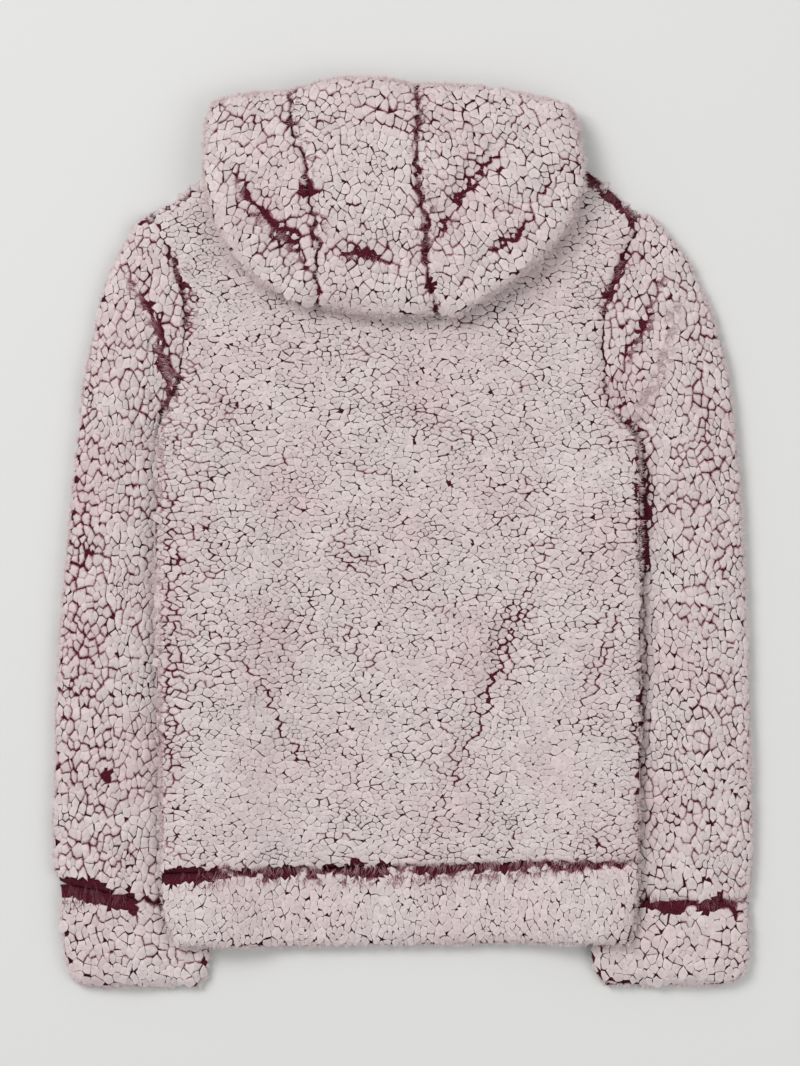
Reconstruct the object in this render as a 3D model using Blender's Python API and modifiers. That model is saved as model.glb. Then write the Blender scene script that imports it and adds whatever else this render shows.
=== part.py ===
"""Hooded sherpa fleece jacket, laid face down with its sleeves beside it and its hood on its back.

+Y runs from the hem to the hood, +X to the right as seen from above and +Z up. The origin is on
the floor under the middle of the garment. Lengths in the tables are in millimetres.
"""

from collections import namedtuple
from math import radians

import bmesh
import bpy
import numpy as np

MM = 0.001

CENTRE = (0.2, -0.2)  # middle of the garment's box in the tables' own coordinates

# Cloth
GAP = 0.3  # between neighbouring pieces
WALL = 8.0  # knit backing and curled pile together
SEAM_ROUND = 4.5  # pile rolls down into a seam over this distance
SEAM_DROP = 3.5  # and this far
FREE_ROUND = 9.0  # pile rolls round an outer edge over this distance
FREE_DROP = 6.0  # and this far, leaving the rest as the edge's thickness
LEAST_WALL = 2.0  # left under the deepest crease
WELD = 0.02  # points nearer than this are one

# Rolls of the pile, as (distance, depth): into a seam, round an outer edge, and none
SEAM = (SEAM_ROUND, SEAM_DROP)
FREE = (FREE_ROUND, FREE_DROP)
PLAIN = (1.0, 0.0)

# How the layers lie
SLEEVE_TUCK = 12.5  # height of a sleeve where the body presses on it
SLEEVE_SLOT = 0.8  # between a sleeve's two walls
SLOT_ROUND = 3.0  # the slot opens over this distance from the outer fold
SLEEVE_FOLD = 10.0  # half width of its outer fold's curve
FOLD_WALL = 7.0  # wall at the outer fold, at most
FOLD_WALL_SHARE = 0.35  # and this share of a narrow section's width
SEAM_EDGE_HALF = 1.6  # half of the thickness left at a sleeve's inner seam
UNDERSIDE_SHARE = 0.6  # of an end's roll is on the underside
CROWN_AT_FOLD = 0.8  # share of the crown's height beside the outer fold
CROWN_RISE = 30.0  # it is full this far in
FLAT_MARGIN = 3.0  # a sleeve is flat this far before the body's edge covers it
FULL_SECTION = 45.0  # sections narrower than this have their edge columns drawn in
LIFT_RAMP = 55.0  # the body climbs onto a sleeve over this distance
LIFT_MARGIN = 12.0  # and is fully up this far before the sleeve begins
UNDERARM_RAMP = 28.0  # the climb along the side seam below the underarm
COVER_RAMP = 26.0  # a sleeve flattens over this distance before the body covers it

# Body, from the hem seam up: side seams, underarms at row BODY_UNDERARM and armholes above
BodyRow = namedtuple("BodyRow", "left_x left_y right_x right_y")
BODY = [
    BodyRow(-200, -283, 195, -273),
    BodyRow(-201, -223, 196, -223),
    BodyRow(-203, -140, 197, -140),
    BodyRow(-205, -57, 197, -57),
    BodyRow(-204, 10, 197, 5),
    BodyRow(-203, 68, 197, 50),
    BodyRow(-196, 107, 195, 79),
    BodyRow(-188, 116, 181, 92),
    BodyRow(-183, 137, 170, 106),
    BodyRow(-181, 159, 168, 130),
    BodyRow(-181, 184, 166, 155),
    BodyRow(-184, 203, 167, 180),
    BodyRow(-190, 224, 171, 200),
    BodyRow(-197, 239, 181, 222),
    BodyRow(-209, 260, 195, 257),
]
BODY_UNDERARM = 6
BODY_ROWS_BELOW = 18  # steps between the hem seam and the underarm
BODY_SEAM_ROW = 0.075  # the step nearest the hem seam, in rows
BODY_TOP_ROW = 0.3  # and the one nearest the top edge
BODY_BEND = 1.3  # power with which the rows bend up to the top edge
ARMHOLE_BLEND = 1.5  # rows over which a free side turns into an armhole
BODY_CENTRE = -3.0
BODY_WIDTH = 400.0
NEAR_SIDE = (GAP / 2, 2.5, 9.0)  # columns near a body panel's sides
BACK_COLUMNS = 18  # and between them
FRONT_RAMP_COLUMNS = 6  # of those, the ones that a front has over a sleeve
ON_LINE = 0.05  # points nearer to the hem seam than this lie on it

# Shoulder seams, from the left armhole to the right one, with how far the fronts show past them
ShoulderPoint = namedtuple("ShoulderPoint", "x y roll")
SHOULDERS = [
    ShoulderPoint(-209, 260, 0),
    ShoulderPoint(-197, 267, 4),
    ShoulderPoint(-164, 285, 7),
    ShoulderPoint(-81, 324, 3),
    ShoulderPoint(81, 324, 3),
    ShoulderPoint(151, 293, 11),
    ShoulderPoint(185, 266, 8),
    ShoulderPoint(195, 257, 0),
]
NECK_HALF = 81.0
NECK_DROP_BACK = 18.0
NECK_DROP_FRONT = 52.0
NECK_POWER = 0.7

# Hem band, from its folded edge up to the seam
HEM = [
    BodyRow(-188, -343, 187, -341),
    BodyRow(-195, -327, 192, -318),
    BodyRow(-199, -306, 195, -294),
    BodyRow(-200, -283, 195, -273),
]
HEM_SAG = 1.5  # the folded edge hangs lower left of its middle
HEM_SAG_START = -200.0
HEM_SAG_WIDTH = 260.0
HEM_STEPS = np.array([0, 0.15, 0.5, 1.5, 2.8, 3])

# Sleeves, from the cuff seam up: outer fold, inner seam and height of the crown between them.
# The rows from SLEEVE_UNDERARM up end on the armhole, one for each row of BODY.
SleeveRow = namedtuple("SleeveRow", "out_x out_y in_x in_y crown")
SLEEVE_LEFT = [
    SleeveRow(-286, -292, -162, -317, 16.5),
    SleeveRow(-291, -270, -161, -290, 19),
    SleeveRow(-289, -203, -157, -215, 20),
    SleeveRow(-288, -137, -153, -140, 20),
    SleeveRow(-284, -70, -152, -65, 21),
    SleeveRow(-278, -4, -156, 0, 21),
    SleeveRow(-275, 34, -172, 38, 21),
    SleeveRow(-271, 70, -202, 72, 21),
    SleeveRow(-267, 108, -197, 108, 21),
    SleeveRow(-265, 128, 0, 0, 21),
    SleeveRow(-261, 145, 0, 0, 20.5),
    SleeveRow(-257, 162, 0, 0, 20),
    SleeveRow(-254, 180, 0, 0, 19.5),
    SleeveRow(-250, 197, 0, 0, 19),
    SleeveRow(-243, 215, 0, 0, 18.5),
    SleeveRow(-234, 233, 0, 0, 18),
    SleeveRow(-221, 257, 0, 0, 16.5),
]
SLEEVE_RIGHT = [
    SleeveRow(287, -307, 158, -305, 16.5),
    SleeveRow(291, -269, 159, -264, 19),
    SleeveRow(290, -203, 156, -203, 20),
    SleeveRow(288, -137, 152, -137, 20),
    SleeveRow(286, -70, 150, -70, 21),
    SleeveRow(283, -4, 153, -15, 21),
    SleeveRow(281, 30, 170, 12, 21),
    SleeveRow(279, 55, 196, 46, 21),
    SleeveRow(276, 85, 196.2, 79.8, 21),
    SleeveRow(274, 105, 0, 0, 21),
    SleeveRow(272, 122, 0, 0, 20.5),
    SleeveRow(268, 143, 0, 0, 20),
    SleeveRow(263, 162, 0, 0, 19.5),
    SleeveRow(257, 182, 0, 0, 19),
    SleeveRow(250, 198, 0, 0, 18.5),
    SleeveRow(238, 226, 0, 0, 18),
    SleeveRow(207, 263, 0, 0, 16.5),
]
SLEEVE_UNDERARM = 8
SLEEVE_ROWS_BELOW = 11
SLEEVE_SEAM_ROW = 0.2  # the step nearest the cuff seam
CAP_BLEND = 2  # rows over which the inner seam turns into the armhole
FOLD_COLUMNS = (0.0, 2.2, 9.5)  # distances from the outer fold
CROWN_COLUMNS = (0.3, 0.55, 0.8, 1.0)  # shares of the way to the flat part
INNER_COLUMNS = (8.0, 2.4, 0.0)  # distances from the inner seam

# Cuffs, from the folded end up to the cuff seam
CUFF_LEFT = [
    SleeveRow(-266, -377, -172, -378, 15),
    SleeveRow(-278, -367, -164, -368, 17.5),
    SleeveRow(-282, -345, -161, -352, 18),
    SleeveRow(-284, -322, -161, -340, 18),
    SleeveRow(-286, -292, -162, -317, 16.5),
]
CUFF_RIGHT = [
    SleeveRow(273, -376, 170, -377, 15),
    SleeveRow(285, -366, 161, -367, 17.5),
    SleeveRow(289, -348, 157, -350, 18),
    SleeveRow(288, -328, 157, -330, 18),
    SleeveRow(287, -307, 158, -305, 16.5),
]
CUFF_STEPS = np.array([0, 0.4, 1, 1.8, 2.8, 3.85, 4])

# Hood panels, from the folded lower edge up: each row crosses the whole hood
HoodRow = namedtuple("HoodRow", "left_x left_y seam_l_x seam_l_y seam_r_x seam_r_y right_x right_y top")
HOOD = [
    HoodRow(-93, 194, -72, 187, 31, 180, 50, 183, 40),
    HoodRow(-119, 206, -71, 208, 23, 202, 83, 201, 43),
    HoodRow(-140, 226, -70, 238, 20, 226, 115, 225, 44),
    HoodRow(-156, 254, -73, 262, 19, 252, 140, 256, 44),
    HoodRow(-164, 283, -80, 286, 14, 278, 151, 284, 43),
    HoodRow(-165, 306, -81, 306, 11, 302, 150, 308, 41),
    HoodRow(-165, 324, -89, 324, 12, 324, 147, 328, 38),
    HoodRow(-163, 342, -93, 344, 14, 344, 144, 344, 35),
    HoodRow(-157, 356, -92, 366, 9, 371, 137, 354, 33),
]
HOOD_TOP_SWELL = (3.0, 9.0, 6.0)  # the opening edge bows up on each panel
HOOD_BOTTOM_SWELL = 5.0  # and the folded edge bows down
HOOD_BOW_ROWS = 2  # rows over which each edge bows
HOOD_ROUND = 15.0  # radius of its outer edges
HOOD_EDGE_HALF = 0.8  # half of the thickness left where its two layers meet
HOOD_LAYER_GROOVE = 5.0  # depth of the line between its two layers
HOOD_DROP_START = 24.0  # past the shoulder line the hood comes down
HOOD_DROP_RUN = 15.0  # and reaches the floor over this distance
HOOD_STEPS = np.array([0, 0.12, 0.5, 1.2, 2, 3, 4, 5, 6, 7, 7.6, 7.9, 8])
HOOD_PANEL_WIDTH = 90.0
HOOD_FREE_COLUMNS = (0.0, 1.6, 5.5, 12.0)  # distances from an outer edge
HOOD_SEAM_COLUMNS = (0.0, 1.5, 5.0)  # distances from a seam
HOOD_INNER_COLUMNS = 4

# Creases: troughs with a low ridge beside them, as uneven in length and depth as they lie
Crease = namedtuple("Crease", "points half_width depth")
BACK_CREASES = [
    Crease([(135, 10), (127, -15), (106, -57), (87, -90), (74, -132), (68, -173), (31, -231)], 11, 3.6),
    Crease([(175, -82), (164, -106), (145, -147)], 9, 2.4),
    Crease([(-147, -98), (-127, -127), (-106, -140), (-89, -177), (-77, -198)], 10, 3.0),
    Crease([(-203, -10), (-172, -28), (-156, -34)], 9, 2.0),
    Crease([(-60, -15), (-31, -36)], 9, 1.4),
    Crease([(-60, 122), (-10, 112), (48, 92)], 10, 1.2),
]
SLEEVE_CREASES = [
    Crease([(-223, 208), (-205, 177), (-200, 156), (-196, 123)], 8, 3.6),
    Crease([(214, 200), (202, 173), (186, 146)], 8, 3.2),
    Crease([(230, 167), (224, 159), (204, 113), (199, 92)], 8, 2.6),
]
HOOD_CREASES = [
    Crease([(-158, 318), (-145, 333), (-100, 337), (20, 334), (95, 338)], 8, 3.4),
    Crease([(-139, 283), (-117, 254), (-93, 234), (-77, 213)], 9, 4.6),
    Crease([(-48, 230), (-2, 224), (19, 217)], 9, 4.0),
    Crease([(89, 325), (64, 300), (52, 283), (35, 254), (15, 221)], 9, 4.6),
    Crease([(106, 254), (68, 227)], 8, 3.6),
    Crease([(143, 317), (131, 296), (93, 267)], 8, 3.0),
]
RIDGE_SHARE = 0.4  # height of the ridge beside a crease, as a share of its depth
RIDGE_AWAY = 2.2  # its distance from the crease, in half widths
CREASE_END = 0.08  # a crease keeps the depth that it has at this share of its length
CREASE_FADE = 0.6  # power with which it fades to its ends
BACK_CREASE_MOST = 3.6

# Zip at the front, under the garment, closed
ZIP_GAP = 12.6  # between the two fronts
TAPE_BOTTOM = 6.0
TAPE_THICK = 1.4
CHAIN_WIDTH = 4.6
CHAIN_THICK = 1.8
ZIP_BOTTOM = -339.0
ZIP_TOP = 262.0
SLIDER_Y = 252.0  # middle of the slider
SLIDER_SIZE = (8.6, 11.0, 2.6)
EAR_SIZE = (1.3, 3.8, 3.1)
EAR_SPREAD = 2.9  # from the zip's middle to the middle of an ear
PIN_HEIGHT = 1.7
PIN_RADIUS = 0.5
PIN_CLEARANCE = 0.3
PULL_SIZE = (3.8, 27.0, 1.1)
PULL_HEEL = 0.8  # the pull reaches this far past its pin
EAR_ROOT = 0.4  # of an ear is inside the slider
ROD_SIDES = 12
CHAIN_BEVEL = 0.4
SLIDER_BEVEL = 0.6
PULL_BEVEL = 0.3

# Finishes: base colour, roughness and metallic value
SHERPA = (0.60, 0.49, 0.50), 0.95, 0.0
KNIT = (0.11, 0.02, 0.035), 0.9, 0.0
METAL = (0.16, 0.14, 0.14), 0.35, 1.0


def ease(t):
    """A smooth step from 0 to 1."""
    t = np.clip(t, 0, 1)
    return t * t * (3 - 2 * t)


def quarter(distance, radius):
    """A quarter circle: 0 at the edge and 1 from the radius on."""
    q = np.clip(distance / radius, 0, 1)
    return np.sqrt(1 - (1 - q) ** 2)


def between(stations, at):
    """Values at fractional station numbers, on a smooth curve through the stations."""
    p = np.array(stations, float)
    slope = np.gradient(p, axis=0)
    k = np.clip(at.astype(int), 0, len(p) - 2)
    a = (at - k)[:, None]
    b = 1 - a
    return (
        (1 + 2 * a) * b * b * p[k] + a * b * b * slope[k]
        + a * a * (3 - 2 * a) * p[k + 1] - a * a * b * slope[k + 1]
    )


def apart(points, distance):
    """The points of a line moved sideways to its right by a distance."""
    along = np.gradient(points, axis=0)
    along /= np.linalg.norm(along, axis=1)[:, None]
    return points + distance * np.stack([along[:, 1], -along[:, 0]], axis=1)


def crease_relief(creases, x, y):
    """How far the creases lower the surface at x, y."""
    relief = np.zeros_like(x)
    for crease in creases:
        p = np.array(crease.points, float)
        run = np.concatenate([[0], np.cumsum(np.linalg.norm(np.diff(p, axis=0), axis=1))])
        near = np.full_like(x, 1e9)
        where = np.zeros_like(x)
        for a, b, start in zip(p[:-1], p[1:], run):
            d = b - a
            t = np.clip(((x - a[0]) * d[0] + (y - a[1]) * d[1]) / (d @ d), 0, 1)
            away = np.hypot(x - a[0] - t * d[0], y - a[1] - t * d[1])
            where = np.where(away < near, start + t * np.linalg.norm(d), where)
            near = np.minimum(away, near)
        fade = np.sin(np.pi * np.clip(where / run[-1], CREASE_END, 1 - CREASE_END)) ** CREASE_FADE
        trough = np.exp(-((near / crease.half_width) ** 2))
        ridge = np.exp(-(((near - RIDGE_AWAY * crease.half_width) / crease.half_width) ** 2))
        relief += crease.depth * fade * (trough - RIDGE_SHARE * ridge)
    return relief


def sleeve_lines(rows, side):
    """Stations of a sleeve with its cap ended on the armhole: outer fold, inner seam and crown."""
    p = np.array(rows, float)
    hole = np.array([row[2 * side:2 * side + 2] for row in BODY[BODY_UNDERARM + 1:]], float)
    p[SLEEVE_UNDERARM + 1:, 2:4] = apart(hole, (2 * side - 1) * GAP / 2)
    at = np.concatenate([
        np.linspace(0, SLEEVE_UNDERARM, SLEEVE_ROWS_BELOW, endpoint=False),
        np.arange(SLEEVE_UNDERARM, len(rows)),
    ])
    return between(p, at)


def lift(x, y):
    """Height of the fronts' outer face: 0 on the floor, and up where they lie on a sleeve."""
    height = np.zeros_like(x)
    for side, rows, cuff in ((0, SLEEVE_LEFT, CUFF_LEFT), (1, SLEEVE_RIGHT, CUFF_RIGHT)):
        seam = np.vstack([np.array(cuff, float)[:-1, 2:4], sleeve_lines(rows, side)[:, 2:4]])
        start = np.abs(np.interp(y, seam[:, 1], seam[:, 0])) - LIFT_MARGIN
        outward = x * (2 * side - 1)
        underarm = BODY[BODY_UNDERARM][2 * side + 1]
        height += (
            (SLEEVE_TUCK + GAP)
            * ease((underarm - y) / UNDERARM_RAMP)
            * ease((outward - start + LIFT_RAMP) / LIFT_RAMP)
            * (outward > 0)
        )
    return height


def side_at(side, y):
    """Distance of the body's side edge from the middle, at y."""
    rows = np.array(HEM[:-1] + BODY[:BODY_UNDERARM + 1], float)
    return np.abs(np.interp(y, rows[:, 2 * side + 1], rows[:, 2 * side]))


def top_edge(x, neck_drop, roll_share):
    """Where the shoulder lines and the neckline lie at x; roll_share is 1 on the fronts."""
    across, up, roll = np.array(SHOULDERS, float).T
    scoop = neck_drop * np.clip(1 - (x / NECK_HALF) ** 2, 0, 1) ** NECK_POWER
    return np.interp(x, across, up) - scoop + roll_share * np.interp(x, across, roll)


def column_shares(width, near, inner, far):
    """Shares across a width with columns at set distances from both edges."""
    return np.concatenate([
        np.array(near) / width, np.linspace(near[-1] / width, 1 - far[-1] / width, inner + 2)[1:-1],
        1 - np.array(far[::-1]) / width,
    ])


def body_plan(rows, steps, shares, neck_drop=None, roll_share=0):
    """Plan points of a body panel: rows straight across, bent up to the top edge in the end."""
    p = between(rows, steps)
    x = p[:, :1] + (p[:, 2:3] - p[:, :1]) * shares
    y = p[:, 1:2] + (p[:, 3:4] - p[:, 1:2]) * shares
    if neck_drop is not None:
        bend = top_edge(x[-1], neck_drop, roll_share) - y[-1]
        up = np.clip((steps - BODY_UNDERARM) / (len(rows) - 1 - BODY_UNDERARM), 0, 1)
        y = y + (up ** BODY_BEND)[:, None] * bend
    return x, y


def edge_distances(x, y):
    """Distances of grid points from the first and last column and the first and last row."""
    return (
        np.hypot(x - x[:, :1], y - y[:, :1]), np.hypot(x - x[:, -1:], y - y[:, -1:]),
        np.hypot(x - x[:1], y - y[:1]), np.hypot(x - x[-1:], y - y[-1:]),
    )


def rolled(x, y, rolls):
    """How far the pile rolls down at the four edges, from (distance, depth) for each."""
    down = np.zeros_like(x)
    for away, (radius, drop) in zip(edge_distances(x, y), rolls):
        down = np.maximum(down, drop * (1 - quarter(away, radius)))
    return down


def border(table):
    """The outer ring of a table of points or numbers, in order."""
    return np.concatenate([table[0, :-1], table[:-1, -1], table[-1, :0:-1], table[:0:-1, 0]])


def add_sheet(name, finish, outer, inner, middle=None):
    """A closed sheet from its two faces, grids of the same size, joined all round their rim."""
    rows, cols = outer.shape[:2]
    number = np.arange(rows * cols).reshape(rows, cols)
    a, b, c, d = number[:-1, :-1], number[:-1, 1:], number[1:, 1:], number[1:, :-1]
    halves = np.concatenate([np.stack([a, b, c], axis=-1), np.stack([a, c, d], axis=-1)])
    halves = halves.reshape(-1, 3)
    rings = [border(number)]
    points = [outer.reshape(-1, 3)]
    count = rows * cols
    if middle is not None:
        rings.append(np.arange(count, count + len(middle)))
        points.append(middle)
        count += len(middle)
    rings.append(border(number) + count)
    points.append(inner.reshape(-1, 3))
    faces = [halves, halves[:, ::-1] + count]
    for a, b in zip(rings[:-1], rings[1:]):
        after_a, after_b = np.roll(a, -1), np.roll(b, -1)
        faces += [np.stack([a, b, after_b], axis=-1), np.stack([a, after_b, after_a], axis=-1)]
    points = (np.concatenate(points) - (*CENTRE, 0)) * MM
    mesh = bpy.data.meshes.new(name)
    mesh.from_pydata(points.tolist(), [], np.concatenate(faces).tolist())
    bm = bmesh.new()
    bm.from_mesh(mesh)
    bmesh.ops.remove_doubles(bm, verts=bm.verts, dist=WELD * MM)
    bmesh.ops.recalc_face_normals(bm, faces=bm.faces)
    bm.to_mesh(mesh)
    bm.free()
    return place(bpy.data.objects.new(name, mesh), finish)


def place(obj, finish):
    """Puts an object in the jacket's collection with a material of its own."""
    colour, roughness, metallic = finish
    material = bpy.data.materials.new(obj.name)
    material.use_nodes = True
    shader = material.node_tree.nodes["Principled BSDF"]
    shader.inputs["Base Color"].default_value = (*colour, 1)
    shader.inputs["Roughness"].default_value = roughness
    shader.inputs["Metallic"].default_value = metallic
    obj.data.materials.clear()
    obj.data.materials.append(material)
    for old in obj.users_collection:
        old.objects.unlink(obj)
    jacket.objects.link(obj)
    obj.data.shade_smooth()
    return obj


def grid(x, y, z):
    return np.stack([x, y, z], axis=-1)


def body_steps():
    """Station numbers of the body's rows: even below the underarm, one for each station above."""
    below = np.linspace(0, BODY_UNDERARM, BODY_ROWS_BELOW, endpoint=False)
    above = np.arange(BODY_UNDERARM, len(BODY))
    near_edges = [BODY_SEAM_ROW, len(BODY) - 1 - BODY_TOP_ROW]
    return np.unique(np.concatenate([below, above, near_edges]))


def back_shares():
    return column_shares(BODY_WIDTH, NEAR_SIDE, BACK_COLUMNS, NEAR_SIDE)


def make_back():
    x, y = body_plan(BODY, body_steps(), back_shares(), NECK_DROP_BACK)
    base = lift(x, y) + WALL + GAP
    free = rolled(x, y, (FREE, FREE, SEAM, FREE))
    seam = rolled(x, y, (SEAM, SEAM, SEAM, FREE))
    on_armhole = ease((body_steps() - BODY_UNDERARM) / ARMHOLE_BLEND)[:, None]
    down = free + (seam - free) * on_armhole
    crease = np.minimum(crease_relief(BACK_CREASES, x, y), BACK_CREASE_MOST)
    top = np.maximum(base + WALL - down - crease, base + LEAST_WALL)
    y = y + seam_shift(x, y, BODY[0], GAP / 2)
    add_sheet("back", SHERPA, grid(x, y, top), grid(x, y, base))


def seam_shift(x, y, row, distance):
    """Moves the points that lie on the hem seam's line away from it."""
    line = np.interp(x, [row[0], row[2]], [row[1], row[3]])
    return np.where(np.abs(y - line) < ON_LINE, distance, 0)


def front_shares(side, rows, steps):
    """The back's columns over a sleeve's edge, then two more along the straight zip edge."""
    p = between(rows, steps)
    shares = np.broadcast_to(back_shares(), (len(p), len(back_shares())))
    keep = len(NEAR_SIDE) + FRONT_RAMP_COLUMNS
    outward = 2 * side - 1
    zip_x = BODY_CENTRE + outward * (ZIP_GAP / 2 + np.array([SEAM_ROUND, 0.0]))
    zip_shares = (zip_x - p[:, :1]) / (p[:, 2:3] - p[:, :1])
    if side == 0:
        return np.concatenate([shares[:, :keep], zip_shares], axis=1)
    return np.concatenate([zip_shares[:, ::-1], shares[:, -keep:]], axis=1)


def make_front(side, name):
    steps = body_steps()
    shares = front_shares(side, BODY, steps)
    x, y = body_plan(BODY, steps, shares, NECK_DROP_FRONT, 1)
    base = lift(x, y)
    sides = (FREE, SEAM) if side == 0 else (SEAM, FREE)
    free = rolled(x, y, (*sides, SEAM, PLAIN))
    seam = rolled(x, y, (SEAM, SEAM, SEAM, PLAIN))
    on_armhole = ease((steps - BODY_UNDERARM) / ARMHOLE_BLEND)[:, None]
    up = free + (seam - free) * on_armhole
    down = rolled(x, y, (PLAIN, PLAIN, PLAIN, FREE))
    y = y + seam_shift(x, y, BODY[0], GAP / 2)
    add_sheet(name, SHERPA, grid(x, y, base + WALL - down), grid(x, y, base + up))


def hem_plan(shares):
    x, y = body_plan(HEM, HEM_STEPS, shares)
    sag = HEM_SAG * np.sin(np.pi * np.clip((x - HEM_SAG_START) / HEM_SAG_WIDTH, 0, 1))
    return x, y - sag * (1 - HEM_STEPS[:, None] / HEM_STEPS[-1])


def make_hem_back():
    x, y = hem_plan(back_shares())
    base = lift(x, y) + WALL + GAP
    down = rolled(x, y, (FREE, FREE, FREE, SEAM))
    y = y + seam_shift(x, y, HEM[-1], -GAP / 2)
    add_sheet("hem_back", SHERPA, grid(x, y, base + WALL - down), grid(x, y, base))


def make_hem_front(side, name):
    x, y = hem_plan(front_shares(side, HEM, HEM_STEPS))
    base = lift(x, y)
    sides = (FREE, SEAM) if side == 0 else (SEAM, FREE)
    up = rolled(x, y, (*sides, FREE, SEAM))
    y = y + seam_shift(x, y, HEM[-1], -GAP / 2)
    add_sheet(name, SHERPA, grid(x, y, base + WALL), grid(x, y, base + up))


def tube_grids(rows, side, ends, cap):
    """Outer and inner face of a flattened tube, folded at its outer line and seamed at its inner.

    rows hold the outer fold, the inner seam and the crown; ends are the rolls at the first and
    last row; cap is 0 where the inner line is a folded seam and 1 where it lies on the armhole.
    """
    out, inn, crown = rows[:, None, 0:2], rows[:, None, 2:4], rows[:, None, 4]
    width = np.linalg.norm(inn - out, axis=-1)
    small = np.minimum(1, width / FULL_SECTION)
    near = np.array(FOLD_COLUMNS) * small
    far = width - np.array(INNER_COLUMNS) * small
    cover = np.maximum(side_at(side, inn[..., 1]) - np.abs(inn[..., 0]), 0) * (1 - cap)
    flat_from = np.minimum(width - cover - FLAT_MARGIN, far[:, :1] - FLAT_MARGIN * small)
    mid = near[:, -1:] + (flat_from - near[:, -1:]) * np.array(CROWN_COLUMNS)
    d = np.concatenate([near, mid, (flat_from + far[:, :1]) / 2, far], axis=1)
    share = (d / width)[..., None]
    plan = out + (inn - out) * share
    x, y = plan[..., 0], plan[..., 1]
    level = SLEEVE_TUCK + (2 * WALL + GAP - SLEEVE_TUCK) * cap
    open_part = ease((flat_from - d) / COVER_RAMP)
    side_height = crown * (CROWN_AT_FOLD + (1 - CROWN_AT_FOLD) * ease(d / CROWN_RISE))
    height = level + (side_height - level) * open_part
    height = height - crease_relief(SLEEVE_CREASES, x, y)
    e0 = np.hypot(x - x[:1], y - y[:1])
    e1 = np.hypot(x - x[-1:], y - y[-1:])
    end = np.maximum(
        ends[0][1] * (1 - quarter(e0, ends[0][0])), ends[1][1] * (1 - quarter(e1, ends[1][0]))
    )
    from_seam = (width - d) / small
    seam_roll = (1 - quarter(from_seam, FREE_ROUND)) * (height / 2 - SEAM_EDGE_HALF)
    armhole_roll = SEAM_DROP * (1 - quarter(from_seam, SEAM_ROUND))
    fold = 1 - quarter(d / small, SLEEVE_FOLD)
    upper = height - np.maximum(fold * height / 2, np.maximum(
        end, seam_roll + (armhole_roll - seam_roll) * cap))
    lower = np.maximum(fold * height / 2, np.maximum(
        end * UNDERSIDE_SHARE, seam_roll * (1 - cap)))
    middle = height / 2
    slot = SLEEVE_SLOT / 2 * quarter(d, SLOT_ROUND)
    reach = (width - fold_wall(width) * (1 - d / width)) / width
    inner_plan = inn + (out - inn) * ((1 - share) * reach[..., None])
    top_out, low_out = grid(x, y, upper), grid(x, y, lower)
    top_in = np.concatenate([inner_plan, (middle + slot)[..., None]], axis=-1)
    low_in = np.concatenate([inner_plan, (middle - slot)[..., None]], axis=-1)
    outer = np.concatenate([low_out[:, ::-1], top_out[:, 1:]], axis=1)
    inner = np.concatenate([low_in[:, ::-1], top_in[:, 1:]], axis=1)
    return outer, inner


def fold_wall(width):
    """Thickness of the wall at the outer fold."""
    return np.minimum(FOLD_WALL, FOLD_WALL_SHARE * width)


def make_sleeve(name, rows, side):
    lines = sleeve_lines(rows, side)
    cap = np.zeros((len(lines), 1))
    above = np.arange(len(lines) - SLEEVE_ROWS_BELOW)[:, None]
    cap[SLEEVE_ROWS_BELOW:] = ease(above / CAP_BLEND)
    near_seam = between(lines, np.array([SLEEVE_SEAM_ROW]))
    lines = np.vstack([lines[:1], near_seam, lines[1:]])
    cap = np.vstack([cap[:1], cap])
    lines[0, [1, 3]] += GAP / 2
    outer, inner = tube_grids(lines, side, (SEAM, SEAM), cap)
    add_sheet(name, SHERPA, outer, inner)


def make_cuff(name, rows, side):
    lines = between(rows, CUFF_STEPS)
    lines[-1, [1, 3]] -= GAP / 2
    outer, inner = tube_grids(lines, side, (FREE, SEAM), np.zeros((len(lines), 1)))
    add_sheet(name, SHERPA, outer, inner)


def hood_floor(x, y):
    """What the hood lies on: the back, and past the shoulder line the floor."""
    past = y - top_edge(x, NECK_DROP_BACK, 0) - HOOD_DROP_START
    return (2 * WALL + 2 * GAP) * (1 - ease(past / HOOD_DROP_RUN))


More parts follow.
